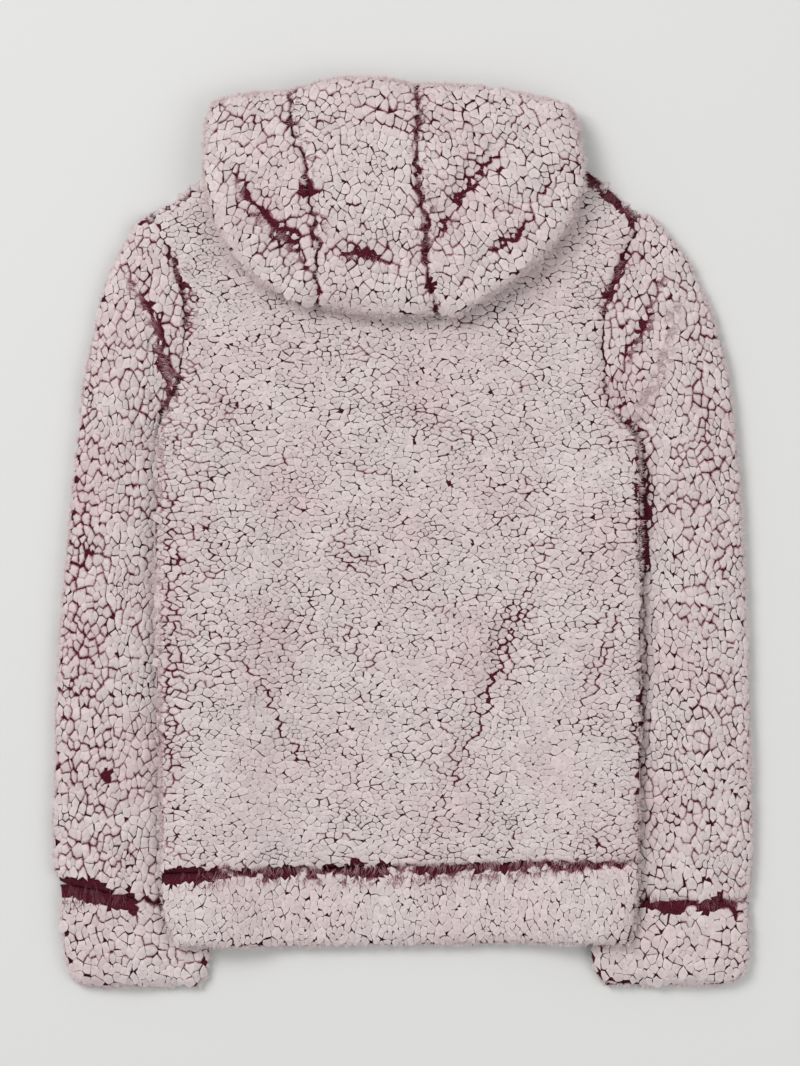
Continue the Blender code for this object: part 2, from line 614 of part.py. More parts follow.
def make_hood_panel(name, first, free_left, free_right):
    """One of the hood's three panels, from line number first to the next."""
    rows = between(HOOD, HOOD_STEPS)
    a, b = rows[:, 2 * first:2 * first + 2], rows[:, 2 * first + 2:2 * first + 4]
    if not free_left:
        a = apart(a, GAP / 2)
    if not free_right:
        b = apart(b, -GAP / 2)
    left = HOOD_FREE_COLUMNS if free_left else HOOD_SEAM_COLUMNS
    right = HOOD_FREE_COLUMNS if free_right else HOOD_SEAM_COLUMNS
    shares = column_shares(HOOD_PANEL_WIDTH, left, HOOD_INNER_COLUMNS, right)
    x = a[:, :1] + (b[:, :1] - a[:, :1]) * shares
    y = a[:, 1:] + (b[:, 1:] - a[:, 1:]) * shares
    swell = 4 * shares * (1 - shares)
    to_top = HOOD_STEPS[-1] - HOOD_STEPS
    bow = HOOD_TOP_SWELL[first] * ease(1 - to_top / HOOD_BOW_ROWS)
    bow -= HOOD_BOTTOM_SWELL * ease(1 - HOOD_STEPS / HOOD_BOW_ROWS)
    y = y + swell * bow[:, None]
    top = np.broadcast_to(rows[:, 8:9], x.shape) - crease_relief(HOOD_CREASES, x, y)
    low = hood_floor(x, y)
    away = edge_distances(x, y)
    free = np.minimum(away[2], away[3])
    free = np.minimum(free, away[0]) if free_left else free
    free = np.minimum(free, away[1]) if free_right else free
    round_off = 1 - quarter(free, HOOD_ROUND)
    centre = (top + low) / 2
    seams = np.zeros_like(x)
    for is_free, distance in ((free_left, away[0]), (free_right, away[1])):
        if not is_free:
            seams = np.maximum(seams, SEAM_DROP * (1 - quarter(distance, SEAM_ROUND)))
    upper = top - np.maximum(round_off * (top - centre - HOOD_EDGE_HALF), seams)
    lower = low + round_off * (centre - low - HOOD_EDGE_HALF)
    ring = border(grid(x, y, centre))
    weight = border(np.where(free < WELD, 1.0, 0.0))[:, None]
    heart = np.array([x.mean(), y.mean()])
    inward = heart - ring[:, :2]
    inward /= np.linalg.norm(inward, axis=1)[:, None]
    ring[:, :2] += weight * HOOD_LAYER_GROOVE * inward
    add_sheet(name, SHERPA, grid(x, y, upper), grid(x, y, lower), ring)


def at(x, y, z):
    """A place in the tables' coordinates as a location in metres."""
    return (x - CENTRE[0]) * MM, (y - CENTRE[1]) * MM, z * MM


def box(name, size, centre):
    """A box from its size and centre, in millimetres."""
    bpy.ops.mesh.primitive_cube_add(size=1, location=at(*centre))
    obj = bpy.context.object
    obj.name = name
    obj.data.name = name
    obj.scale = [s * MM for s in size]
    bpy.ops.object.transform_apply(location=False, rotation=False, scale=True)
    return obj


def rod(name, radius, length, centre):
    """A cylinder along X, in millimetres."""
    bpy.ops.mesh.primitive_cylinder_add(
        vertices=ROD_SIDES, radius=radius * MM, depth=length * MM,
        location=at(*centre), rotation=(0, radians(90), 0),
    )
    obj = bpy.context.object
    obj.name = name
    bpy.ops.object.transform_apply(location=False, rotation=True, scale=False)
    return obj


def combine(obj, other, operation):
    """Adds or cuts another object, which is kept as a hidden cutter."""
    step = obj.modifiers.new(other.name, "BOOLEAN")
    step.operation = operation
    step.object = other
    step.solver = "EXACT"
    other.hide_render = True
    other.display_type = "WIRE"
    for old in other.users_collection:
        old.objects.unlink(other)
    cutters.objects.link(other)


def rounded(obj, width):
    step = obj.modifiers.new("edge", "BEVEL")
    step.width = width * MM
    step.segments = 2
    step.limit_method = "ANGLE"


def make_zip():
    """Two tapes, the closed chain, its slider with two ears and the pull that swings on a pin."""
    length = ZIP_TOP - ZIP_BOTTOM
    tape_width = (ZIP_GAP - 3 * GAP) / 2
    tape_z = TAPE_BOTTOM + TAPE_THICK / 2
    for side, name in ((-1, "zip_tape_left"), (1, "zip_tape_right")):
        x = BODY_CENTRE + side * (tape_width + GAP) / 2
        tape = box(name, (tape_width, length, TAPE_THICK), (x, ZIP_BOTTOM + length / 2, tape_z))
        place(tape, KNIT)
    slider_end = SLIDER_Y - SLIDER_SIZE[1] / 2
    chain_length = slider_end - GAP - ZIP_BOTTOM
    chain_z = TAPE_BOTTOM - GAP - CHAIN_THICK / 2
    chain = box(
        "zip_chain", (CHAIN_WIDTH, chain_length, CHAIN_THICK),
        (BODY_CENTRE, ZIP_BOTTOM + chain_length / 2, chain_z),
    )
    rounded(chain, CHAIN_BEVEL)
    place(chain, KNIT)
    slider_z = TAPE_BOTTOM - GAP - SLIDER_SIZE[2] / 2
    slider = box("zip_slider", SLIDER_SIZE, (BODY_CENTRE, SLIDER_Y, slider_z))
    rounded(slider, SLIDER_BEVEL)
    ear_top = slider_z - SLIDER_SIZE[2] / 2 + EAR_ROOT
    for side in (-1, 1):
        centre = (BODY_CENTRE + side * EAR_SPREAD, SLIDER_Y, ear_top - EAR_SIZE[2] / 2)
        combine(slider, box("ear", EAR_SIZE, centre), "UNION")
    pin_centre = (BODY_CENTRE, SLIDER_Y, PIN_HEIGHT)
    hole_length = 2 * (EAR_SPREAD + EAR_SIZE[0])
    hole = rod("pin_hole", PIN_RADIUS + PIN_CLEARANCE, hole_length, pin_centre)
    combine(slider, hole, "DIFFERENCE")
    place(slider, METAL)
    pull_y = SLIDER_Y + PULL_HEEL - PULL_SIZE[1] / 2
    pull = box("zip_pull", PULL_SIZE, (BODY_CENTRE, pull_y, PIN_HEIGHT))
    bpy.context.scene.cursor.location = at(*pin_centre)
    bpy.ops.object.origin_set(type="ORIGIN_CURSOR")
    rounded(pull, PULL_BEVEL)
    pin = rod("pin", PIN_RADIUS, 2 * EAR_SPREAD + EAR_SIZE[0], pin_centre)
    combine(pull, pin, "UNION")
    place(pull, METAL)


for existing in list(bpy.data.objects):
    bpy.data.objects.remove(existing)
jacket = bpy.data.collections.new("sherpa_jacket")
cutters = bpy.data.collections.new("cutters")
bpy.context.scene.collection.children.link(jacket)
bpy.context.scene.collection.children.link(cutters)

make_back()
make_front(0, "front_left")
make_front(1, "front_right")
make_hem_back()
make_hem_front(0, "hem_front_left")
make_hem_front(1, "hem_front_right")
make_sleeve("sleeve_left", SLEEVE_LEFT, 0)
make_sleeve("sleeve_right", SLEEVE_RIGHT, 1)
make_cuff("cuff_left", CUFF_LEFT, 0)
make_cuff("cuff_right", CUFF_RIGHT, 1)
make_hood_panel("hood_left", 0, True, False)
make_hood_panel("hood_centre", 1, False, False)
make_hood_panel("hood_right", 2, False, True)
make_zip()
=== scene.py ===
import bmesh
import bpy
import numpy as np
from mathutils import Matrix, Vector


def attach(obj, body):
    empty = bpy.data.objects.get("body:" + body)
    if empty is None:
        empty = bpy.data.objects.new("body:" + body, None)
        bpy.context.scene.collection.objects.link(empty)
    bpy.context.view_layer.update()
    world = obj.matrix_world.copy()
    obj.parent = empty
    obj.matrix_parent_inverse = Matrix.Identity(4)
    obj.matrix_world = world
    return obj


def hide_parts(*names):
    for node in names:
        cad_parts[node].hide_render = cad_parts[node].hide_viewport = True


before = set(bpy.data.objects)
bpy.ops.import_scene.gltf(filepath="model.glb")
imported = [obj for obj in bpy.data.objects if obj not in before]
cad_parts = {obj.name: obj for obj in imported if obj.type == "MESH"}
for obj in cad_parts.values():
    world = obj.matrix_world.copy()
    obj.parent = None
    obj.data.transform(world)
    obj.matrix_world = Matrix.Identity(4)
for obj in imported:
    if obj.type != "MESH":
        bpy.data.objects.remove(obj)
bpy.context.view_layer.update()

rng = np.random.default_rng(41)
mm = 0.001  # all shapes are worked out in millimetres

# ---------------------------------------------------------------- what the jacket is made of

fleece = {
    "directions": 9,  # points round one curl
    "neighbours": 14,  # other curls that may bound it
    "thrown": 7,  # places tried for each one that could be kept
    "covered": 3.0,  # a place with cloth nearer over it than this is hidden and gets no curl
    "underneath": 1.7,  # spacing there, as a share of the panel's
    "backingInset": 1.8,  # the knit under the curls' tips
    "rootDepth": 2.6,  # how far a curl's walls go down at an open crack
    "closedDepth": 0.8,  # and where two curls touch
    "tipRing": (0.84, 0.24),  # share of a curl's radius that is its soft top: closed, and less if open
    "hairline": 0.52,  # widest crack inside a clump
    "crackWidth": 1.35,  # widest between two clumps
    "ragged": 0.085,  # how unevenly a crack's edges run, as a share of the radius
    "clump": 0.085,  # share of the curls that begin a clump
    "unevenHeight": 0.16,
    "sizeRise": (0.12, 2.8),  # a curl stands this much higher for each mm that its radius passes this
    "unevenSize": 0.46,
    "crown": (0.05, 0.09),  # a curl's rise as a share of its radius: at least, and more where it opens
    "overlap": 0.45,  # roots of neighbouring curls run into each other
    "wisps": 7,  # pointed fibres on one curl
    "wispHalf": 0.24,
    # which curls bound another: distance as a share of the spacing, and rise as a share of the distance
    "facing": (3.2, 0.75), "close": (1.9, 0.93),
    "beside": (2.4, 0.6),  # a direction is bounded: distance, and the turn's cosine
    # most radius as a share of the spacing: on top, at the rim or below, on an overhanging side, flat
    # on the floor; then where no neighbour bounds it, on top and turned down
    "most": {"top": 1.3, "turned": 0.66, "overhang": 0.42, "flat": 1.0, "free": 0.5, "freeTurned": 0.3},
    "shortened": 0.55,  # a reach past the jacket's edge is cut by this, three times at most
    "floor": 0.02,  # nothing lies lower
    "mostInPiece": 2700,  # curls, which keeps a piece under 200,000 triangles
}

# Each panel: spacing of its curls, how far its cracks open, length to width of its curls, the turn
# of their long side from +X in degrees, and the cut's width and length in metres
panels = {
    "back": (4.35, 0.46, 1.18, 0, 0.405, 0.615),
    "front_left": (6.0, 0.8, 1.1, 90, 0.20, 0.60),
    "front_right": (6.0, 0.8, 1.1, 90, 0.20, 0.60),
    "hem_back": (4.8, 0.20, 1.2, 90, 0.395, 0.075),
    "hem_front_left": (6.0, 0.7, 1.1, 90, 0.195, 0.07),
    "hem_front_right": (6.0, 0.7, 1.1, 90, 0.195, 0.07),
    "sleeve_left": (5.3, 0.94, 1.22, 84, 0.26, 0.60),
    "sleeve_right": (5.3, 0.88, 1.22, 96, 0.26, 0.60),
    "cuff_left": (5.8, 0.90, 1.12, 90, 0.26, 0.09),
    "cuff_right": (5.8, 0.64, 1.12, 90, 0.26, 0.09),
    "hood_left": (5.3, 0.90, 1.15, 60, 0.10, 0.20),
    "hood_centre": (5.3, 0.76, 1.1, 90, 0.12, 0.20),
    "hood_right": (5.3, 0.76, 1.15, 120, 0.14, 0.20),
}
panelNames = list(panels)

# Places where the pile differs: middle, half sizes, turn, spacing share, opening added
zones = [
    (0, 45, 120, 140, 0, 0.94, -0.06),
    (-145, 208, 52, 42, 0, 0.78, -0.15),
    (-262, -25, 24, 190, 3, 1.0, 0.45),
    (-232, -20, 14, 190, 3, 0.95, -0.15),
    (258, -25, 24, 230, 0, 1.0, 0.36),
    (216, -110, 20, 150, 0, 0.92, -0.30),
    (-112, 240, 36, 44, 0, 1.16, 0.45),
    (68, 290, 60, 46, 0, 1.0, -0.12),
    (-36, 292, 34, 60, 0, 0.88, -0.20),
    (-116, -192, 42, 70, 0, 1.0, -0.46),
    (-160, -215, 24, 50, 0, 1.0, -0.30),
    (130, -190, 44, 78, 0, 1.0, -0.48),
    (-189, -140, 12, 78, 0, 1.1, 0.60),
    (165, 208, 26, 42, 0, 1.0, 0.25),
    (-165, 60, 40, 60, 0, 1.0, 0.26),
    (-172, -60, 30, 110, 0, 1.05, 0.30),
    (-60, -60, 70, 60, 0, 1.0, 0.14),
    (-264, -165, 19, 96, 0, 1.05, 0.52),
    (-250, -264, 30, 18, 0, 1.0, 0.70),
    (-198, 112, 32, 38, 0, 1.05, 0.75),
    # along the body's right edge over the right sleeve: the wider cracks and darker pile of this zone are
    # painted shade, the shadow of the body's edge
    (204, 55, 16, 84, 0, 1.0, 0.60),
    (39, 247, 17, 30, 0, 1.05, 0.40),
    (-14, 352, 32, 15, 0, 1.1, 0.25),
    (-71, 317, 15, 15, 0, 1.1, 0.40),
    (10, 224, 14, 26, 0, 1.0, 0.40),
    (-44, 151, 44, 15, 0, 1.0, 0.34),
]

# Bent lines that two of the tables below share
creases = {
    "armhole": [(-206, 150), (-200, 132), (-193, 118), (-196, 104)],
    "sleeveFold": [(214, 213), (210, 200), (203, 182), (201, 167), (186, 151), (182, 133)],
    "sleeveEdge": [(225, 191), (223, 174), (219, 149), (209, 122), (201, 109), (194, 89)],
    "hoodSide": [(-133, 293), (-128, 271), (-118, 263), (-108, 254), (-96, 246), (-85, 230), (-77, 219)],
    "hoodFoot": [(-56, 226), (-39, 230), (-19, 226), (-6, 220)],
}

# Partings of the pile, along creases: points, half width, opening added, depth, width of the crack
# that runs along them
partings = [
    ([(133, 10), (118, -24), (99, -61), (83, -98), (71, -132), (60, -169), (43, -202), (29, -238)],
     10, 0.55, 1.5, 1.5),
    ([(188, -32), (182, -57), (168, -98), (156, -132), (145, -150)], 9, 0.5, 1.2, 1.3),
    ([(-156, -86), (-135, -107), (-114, -132), (-100, -161), (-87, -181), (-77, -198)], 9, 0.5, 1.3, 1.5),
    ([(-60, -15), (-31, -36)], 7, 0.8, 0.8, 1.4),
    ([(-203, -10), (-172, -28), (-156, -34)], 7, 0.8, 0.8, 1.6),
    ([(-95, 122), (-45, 116), (-5, 104), (40, 92), (72, 78)], 14, 0.45, 0.4, 1.0),
    ([(-75, -6), (-40, -20), (-10, -30), (10, -44)], 10, 0.4, 0.3, 1.3),
    ([(-62, 60), (-30, 52), (4, 40), (22, 25)], 12, 0.3, 0.3, 1.0),
    ([(95, 60), (110, 30), (125, 20)], 12, 0.3, 0.3, 1.0),
    # along the body's right edge over the sleeve: partly a real parting and trough, partly painted shade,
    # its wide opening darkening the band where the body's edge shadows the sleeve
    ([(193, 92), (199, 40), (200, 5), (200, -40)], 11, 1.2, 2.8, 2.6),
    ([(200, -20), (200, -57), (198, -140), (195, -262)], 8, 0.8, 1.8, 1.7),
    ([(-197, 95), (-193, -75), (-192, -215), (-190, -262)], 8, 1.1, 1.2, 1.7),
    ([(-209, 258), (-196, 222), (-185, 200), (-180, 180), (-183, 158), (-186, 112)], 10, 0.5, 0.6, 0.8),
    ([(-187, 226), (-184, 206), (-177, 197), (-175, 182), (-177, 166)], 6, 1.2, 1.6, 4.2),
    ([(-223, 208), (-205, 177), (-200, 156), (-195, 138), (-185, 128)], 8, 1.5, 2.6, 7.0),
    (creases["armhole"], 9, 1.3, 2.4, 8.0),
    ([(195, 256), (181, 222), (173, 200), (166, 155), (174, 120), (193, 82)], 10, 0.3, 0.4, 0.6),
    ([(187, 228), (182, 217), (172, 202), (168, 194), (168, 182)], 6, 1.1, 1.8, 5.0),
    (creases["sleeveFold"], 6, 0.7, 1.8, 2.8),
    ([(238, 214), (246, 180), (249, 140), (251, 100), (252, 40)], 8, 0.9, 0.7, 1.8),
    ([(-250, 170), (-258, 140), (-265, 80), (-268, 10), (-271, -70), (-273, -140), (-274, -210)],
     10, 1.0, 0.7, 2.0),
    ([(-155, 325), (-145, 334), (-131, 337), (-60, 336), (20, 334), (95, 338)], 7, 0.5, 1.6, 0.7),
    (creases["hoodSide"], 8, 1.3, 2.8, 6.5),
    (creases["hoodFoot"], 8, 1.5, 2.6, 5.5),
    ([(89, 325), (64, 300), (52, 283), (35, 254), (15, 221)], 8, 0.8, 2.2, 2.6),
    ([(106, 254), (88, 240), (68, 227)], 7, 1.3, 2.4, 5.0),
    ([(143, 317), (131, 296), (93, 267)], 7, 0.9, 1.8, 1.6),
]

# Pile combed over a fold's edge, where no cracks show: points, half width, share of the cracks left
combed = [
    ([(-229, 213), (-210, 172), (-204, 130), (-204, 108)], 6, 0.1),
    (creases["sleeveEdge"], 7, 0.05),
    ([(231, 150), (222, 110), (214, 70), (210, 20), (208, -60), (207, -160)], 9, 0.45),
    ([(-164, 300), (-146, 246), (-121, 216), (-90, 194), (-57, 182), (-20, 178), (30, 180)], 8, 0.05),
    ([(30, 180), (70, 196), (110, 226), (138, 262)], 7, 0.15),
    ([(-105, 300), (-92, 285)], 14, 0.25),
    ([(-47, 334), (-20, 330), (-6, 322)], 9, 0.2),
    ([(-196, -335), (0, -337), (190, -335)], 10, 0.08),
    ([(-282, -368), (-165, -370)], 10, 0.12),
    ([(162, -368), (284, -370)], 10, 0.12),
]

# Long fibres over seams and creases: points of the line they stand on, half width, direction in
# degrees, whether they lean both ways, length, number a millimetre, tones at root and tip
fringes = [
    ([(-223, 208), (-206, 177), (-200, 157), (-195, 138), (-185, 128)],
     4.0, 158, False, 9.5, 12, 0.0, 0.95),
    (creases["armhole"], 3.5, 165, True, 8.5, 9, 0.0, 0.85),
    ([(-187, 224), (-184, 206), (-177, 197), (-175, 182), (-177, 168)], 2.5, 172, True, 7.0, 6, 0.05, 0.80),
    ([(-210, 264), (-213, 254)], 3.0, 200, True, 6.0, 8, 0.0, 0.7),
    ([(186, 226), (182, 217), (172, 202), (168, 194), (168, 182)], 3.0, 8, True, 7.5, 9, 0.1, 0.75),
    (creases["sleeveFold"], 2.5, 18, False, 7.5, 8, 0.0, 0.93),
    (creases["sleeveEdge"], 4.5, 20, True, 6.5, 20, 0.62, 0.95),
    ([(151, 294), (172, 276), (194, 257)], 4.5, 35, True, 4.5, 26, 0.1, 0.42),
    (creases["hoodSide"], 2.5, 215, False, 8.0, 8, 0.0, 0.95),
    (creases["hoodFoot"], 2.5, 275, False, 7.0, 4, 0.0, 0.95),
    ([(64, 300), (52, 283), (35, 254), (15, 221)], 2.5, 335, False, 7.0, 6, 0.0, 0.95),
    ([(-89, 365), (-92, 340), (-76, 313), (-78, 296), (-80, 280)], 2.5, 175, True, 6.0, 5, 0.05, 0.8),
    ([(-71, 264), (-70, 246)], 4.0, 175, True, 6.5, 12, 0.2, 0.7),
    ([(8, 365), (14, 345), (12, 318), (16, 290)], 3.5, 5, True, 6.5, 7, 0.08, 0.75),
    ([(16, 290), (20, 262), (19, 232), (22, 208)], 3.5, 5, True, 6.5, 7, 0.08, 0.75),
    ([(-192, -285), (-148, -283), (-100, -284), (-50, -287), (20, -284), (90, -280), (190, -272)],
     4.2, 80, True, 8.5, 9, 0.0, 0.90),
    ([(-188, -286), (-152, -285)], 5.0, 84, True, 9.0, 12, 0.0, 0.50),
    ([(-282, -304), (-230, -304)], 5.0, 88, True, 8.0, 9, 0.0, 0.42),
    ([(196, -307), (238, -307)], 4.5, 92, True, 8.0, 6, 0.0, 0.6),
    ([(243, -306), (276, -308)], 3.0, 92, True, 7.0, 6, 0.0, 0.7),
    ([(-185, 112), (-197, 90), (-199, 0), (-199, -140), (-197, -262)], 2.0, 180, False, 4.5, 5, 0.55, 0.95),
    ([(193, 82), (197, 10), (199, -140), (196, -262)], 2.0, 0, False, 4.5, 5, 0.55, 0.95),
]

# Gaps at sewn seams: the two panels, the axis that the seam runs along, the share of the gap that lies
# on the first panel, then places along the seam with the gap's width there
seams = {
    ("back", "hem_back"): ("x", 0.32, [
        (-201, 9.0), (-193, 15.0), (-170, 16.0), (-150, 14.0), (-143, 5.0), (-127, 4.0), (-116, 11.0),
        (-100, 12.0), (-88, 8.0), (-81, 3.0), (-70, 12.0), (-58, 10.0), (-54, 4.0), (-40, 14.0),
        (-14, 13.0), (-6, 4.0), (10, 4.0), (16, 11.0), (34, 11.0), (42, 4.0), (70, 7.0), (95, 6.0),
        (120, 4.0), (150, 5.0), (195, 3.0),
    ]),
    ("sleeve_left", "cuff_left"): ("x", 0.4, [
        (-286, 11.0), (-281, 17.0), (-250, 18.0), (-228, 14.0), (-215, 5.0), (-162, 3.0),
    ]),
    ("sleeve_right", "cuff_right"): ("x", 0.25, [
        (158, 2.0), (196, 7.0), (204, 13.0), (232, 11.0), (240, 4.0), (246, 11.0), (278, 11.0), (287, 5.0),
    ]),
    ("back", "front_left"): ("x", 0.5, [(-209, 5.0), (-195, 2.0), (-175, 5.0), (-160, 2.0), (-120, 2.0)]),
    ("back", "front_right"): ("x", 0.5, [(120, 2.0), (146, 8.0), (165, 11.0), (185, 10.0), (196, 6.0)]),
    ("hood_left", "hood_centre"): ("y", 0.5, [
        (185, 2.0), (205, 3.0), (225, 2.0), (240, 5.0), (250, 6.0), (258, 3.0), (268, 3.0), (276, 8.0),
        (284, 8.0), (292, 4.0), (300, 2.5), (307, 7.0), (314, 3.0), (322, 2.0), (335, 1.5), (350, 1.5),
        (360, 4.0), (366, 6.0), (372, 2.0),
    ]),
    ("hood_centre", "hood_right"): ("y", 0.5, [
        (180, 4.0), (195, 5.0), (208, 7.0), (217, 7.0), (226, 4.0), (240, 6.0), (250, 7.0), (258, 5.0),
        (266, 6.0), (274, 8.0), (282, 5.0), (295, 2.5), (306, 3.0), (313, 4.0), (320, 2.0), (333, 4.0),
        (340, 5.0), (347, 2.5), (358, 3.0), (367, 6.0), (372, 3.0),
    ]),
}


# ---------------------------------------------------------------- small helpers

def unit(v):
    # vectors of length 1
    return v / np.maximum(np.linalg.norm(v, axis=-1, keepdims=True), 1e-9)


def smooth(t):
    # a soft step from 0 to 1
    t = np.clip(t, 0, 1)
    return t * t * (3 - 2 * t)


def dot(a, b):
    return (a * b).sum(-1)


def picked(values, index):
    # one value of each row, or several
    return np.take_along_axis(values, index, 1)


def strips(items, size):
    # parts of about a size
    return np.array_split(items, max(1, len(items) // size))


def inPlane(turn, u, v):
    # unit directions at a turn in the plane of two others
    return np.cos(turn)[..., None] * u + np.sin(turn)[..., None] * v


def repeatFaces(template, count, size):
    # a template's faces for each of many shapes of so many points
    return np.array(template)[None] + (np.arange(count) * size)[:, None, None]


def squareMap(local, count):
    # a template's map places for each of many shapes, each in its own square of the whole map
    side = int(np.ceil(np.sqrt(count)))
    square = np.stack([np.arange(count) % side, np.arange(count) // side], 1)
    return (np.array(local)[None] + square[:, None]) / side


def unevenField(x, y, size, key):
    # a wandering value from about -1 to 1: the scaled sum of seven sine waves in spread directions
    turns = np.arange(7) * 2.399 + key
    total = np.zeros_like(x)
    for n, turn in enumerate(turns):
        length = size * (0.6 + 0.17 * n)
        total += np.sin(2 * np.pi * (x * np.cos(turn) + y * np.sin(turn)) / length + 5.1 * n * key + key)
    return total / 2.6


def alongLine(points, x, y):
    # distance to a bent line, the share of its length at which it is nearest, and the side it is on
    p = np.array(points, float)
    steps = np.linalg.norm(np.diff(p, axis=0), axis=1)
    starts = np.concatenate([[0], np.cumsum(steps)])
    near, share, side = np.full_like(x, 1e9), np.zeros_like(x), np.ones_like(x)
    for a, b, start, step in zip(p[:-1], p[1:], starts, steps):
        t = np.clip(((x - a[0]) * (b - a)[0] + (y - a[1]) * (b - a)[1]) / step ** 2, 0, 1)
        away = np.hypot(x - a[0] - t * (b - a)[0], y - a[1] - t * (b - a)[1])
        share = np.where(away < near, (start + t * step) / starts[-1], share)
        turn = (b - a)[0] * (y - a[1]) - (b - a)[1] * (x - a[0])
        side = np.where(away < near, np.sign(turn), side)
        near = np.minimum(near, away)
    return near, share, side


def partingFields(x, y):
    # opening and depth that the partings add: a bell across each, uneven and fading to its ends; and
    # for each parting, the side that a place is on, 0 if far from it, and the width of its crack there
    opening, depth, cracks = np.zeros_like(x), np.zeros_like(x), []
    x, y = x + 2.2 * unevenField(x, y, 26, 5.7), y + 2.2 * unevenField(x, y, 26, 7.9)
    for n, (points, halfWidth, open_, deep, crack) in enumerate(partings):
        near, share, side = alongLine(points, x, y)
        fade = np.sin(np.pi * np.clip(share, 0.06, 0.94)) ** 0.5
        patchy = np.clip(0.75 + 0.55 * unevenField(x, y, 34, 0.7 + n), 0.15, 1.3)
        bell = np.exp(-((near / halfWidth) ** 2)) * fade
        opening += open_ * patchy * bell
        depth += deep * bell - 0.35 * deep * fade * np.exp(-(((near - 2.2 * halfWidth) / halfWidth) ** 2))
        broken = np.clip(0.62 + 0.75 * unevenField(x, y, 19, 3.3 + n), 0.12, 1.25)
        cracks.append((np.where(near < 9, side, 0), crack * fade * broken))
    return opening, depth, cracks


def combedShare(x, y):
    # share of the cracks left: 1, and less along the combed lines
    left = np.ones_like(x)
    for points, halfWidth, keep in combed:
        near, share, _ = alongLine(points, x, y)
        bell = np.exp(-((near / halfWidth) ** 4)) * smooth(np.minimum(share, 1 - share) * 8 + 0.3)
        left *= 1 - (1 - keep) * bell
    return left


def zoneFields(x, y):
    # spacing share and opening of the zones, each a soft ellipse
    spacing, opening = np.ones_like(x), np.zeros_like(x)
    for cx, cy, rx, ry, turn, share, add in zones:
        c, s = np.cos(np.radians(turn)), np.sin(np.radians(turn))
        u, v = (x - cx) * c + (y - cy) * s, (y - cy) * c - (x - cx) * s
        inside = smooth(1.35 - np.hypot(u / rx, v / ry))
        spacing *= 1 + (share - 1) * inside
        opening += add * inside
    return spacing, opening


def cadArrays(name):
    # points and triangles of a merged copy of a CAD node's mesh, with a normal at each point
    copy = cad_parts[name].data.copy()
    bm = bmesh.new()
    bm.from_mesh(copy)
    bmesh.ops.remove_doubles(bm, verts=bm.verts, dist=1e-5)
    bm.to_mesh(copy)
    bm.free()
    points = np.empty(len(copy.vertices) * 3)
    copy.vertices.foreach_get("co", points)
    corners = np.empty(len(copy.loops), np.int32)
    copy.loops.foreach_get("vertex_index", corners)
    bpy.data.meshes.remove(copy)
    points, corners = points.reshape(-1, 3) / mm, corners.reshape(-1, 3)
    a, b, c = (points[corners[:, n]] for n in range(3))
    facing = np.cross(b - a, c - a)
    normals = np.zeros_like(points)
    for n in range(3):
        np.add.at(normals, corners[:, n], facing)
    return points, corners, unit(normals)


def castRays(origins, directions, triangles, reach):
    # distance along each ray to the nearest triangle, at most reach; solved for every pair in strips
    found = np.full(len(origins), float(reach))
    a, ab, ac = triangles[:, 0], triangles[:, 1] - triangles[:, 0], triangles[:, 2] - triangles[:, 0]
    low, high = triangles[..., 1].min(1) - reach, triangles[..., 1].max(1) + reach
    order = np.argsort(origins[:, 1])
    for part in strips(order, 120):
        o, d = origins[part][:, None], directions[part][:, None]
        near = (high >= o[..., 1].min()) & (low <= o[..., 1].max())
        if not near.any():
            continue
        e, f, s = ab[near], ac[near], o - a[near]
        p = np.cross(d, f)
        det = dot(e, p)
        det = np.where(np.abs(det) < 1e-7, 1e9, det)
        q = np.cross(s, e)
        u, v, t = dot(s, p) / det, dot(d, q) / det, dot(f, q) / det
        hit = (u > -1e-3) & (v > -1e-3) & (u + v < 1.001) & (t > 1e-3) & (det < 1e8)
        found[part] = np.minimum(found[part], np.where(hit, t, reach).min(1))
    return found


def makePiece(name, points, faces, material, uv=None, pile=None, lie=None):
    # a smooth mesh object from arrays, with a map of its faces and attributes of its pile if given
    mesh = bpy.data.meshes.new(name)
    size = faces.shape[1]
    mesh.vertices.add(len(points))
    mesh.vertices.foreach_set("co", (points * mm).astype(np.float32).ravel())
    mesh.loops.add(faces.size)
    mesh.loops.foreach_set("vertex_index", faces.astype(np.int32).ravel())
    mesh.polygons.add(len(faces))
    mesh.polygons.foreach_set("loop_start", np.arange(0, faces.size, size, dtype=np.int32))
    mesh.polygons.foreach_set("use_smooth", np.ones(len(faces), bool))
    if uv is not None:
        layer = mesh.uv_layers.new(name="OFBake")
        layer.data.foreach_set("uv", uv[faces.ravel()].astype(np.float32).ravel())
    if pile is not None:
        layer = mesh.color_attributes.new("pile", "FLOAT_COLOR", "POINT")
        values = np.concatenate([pile, np.ones((len(pile), 1))], axis=1)
        layer.data.foreach_set("color", values.astype(np.float32).ravel())
    if lie is not None:
        layer = mesh.attributes.new("lie", "FLOAT_VECTOR", "POINT")
        layer.data.foreach_set("vector", lie.astype(np.float32).ravel())
    mesh.update(calc_edges=True)
    mesh.validate()
    obj = bpy.data.objects.new(name, mesh)
    bpy.context.scene.collection.objects.link(obj)
    mesh.materials.append(material)
    return obj


# ---------------------------------------------------------------- materials

class Socket:
    # wraps a node's output, or a number, so that sums of sockets make their own Math nodes
    def __init__(self, nodes, value):
        self.nodes, self.value = nodes, value

    def math(self, operation, *others):
        return self.nodes.add("ShaderNodeMath", {"operation": operation}, self.value, *others)

    def __add__(self, other):
        return self.math("ADD", other)

    def __sub__(self, other):
        return self.math("SUBTRACT", other)

    def __rsub__(self, other):
        return self.nodes.add("ShaderNodeMath", {"operation": "SUBTRACT"}, other, self.value)

    def __mul__(self, other):
        return self.math("MULTIPLY", other)

    def __pow__(self, other):
        return self.math("POWER", other)

    __radd__ = __add__
    __rmul__ = __mul__


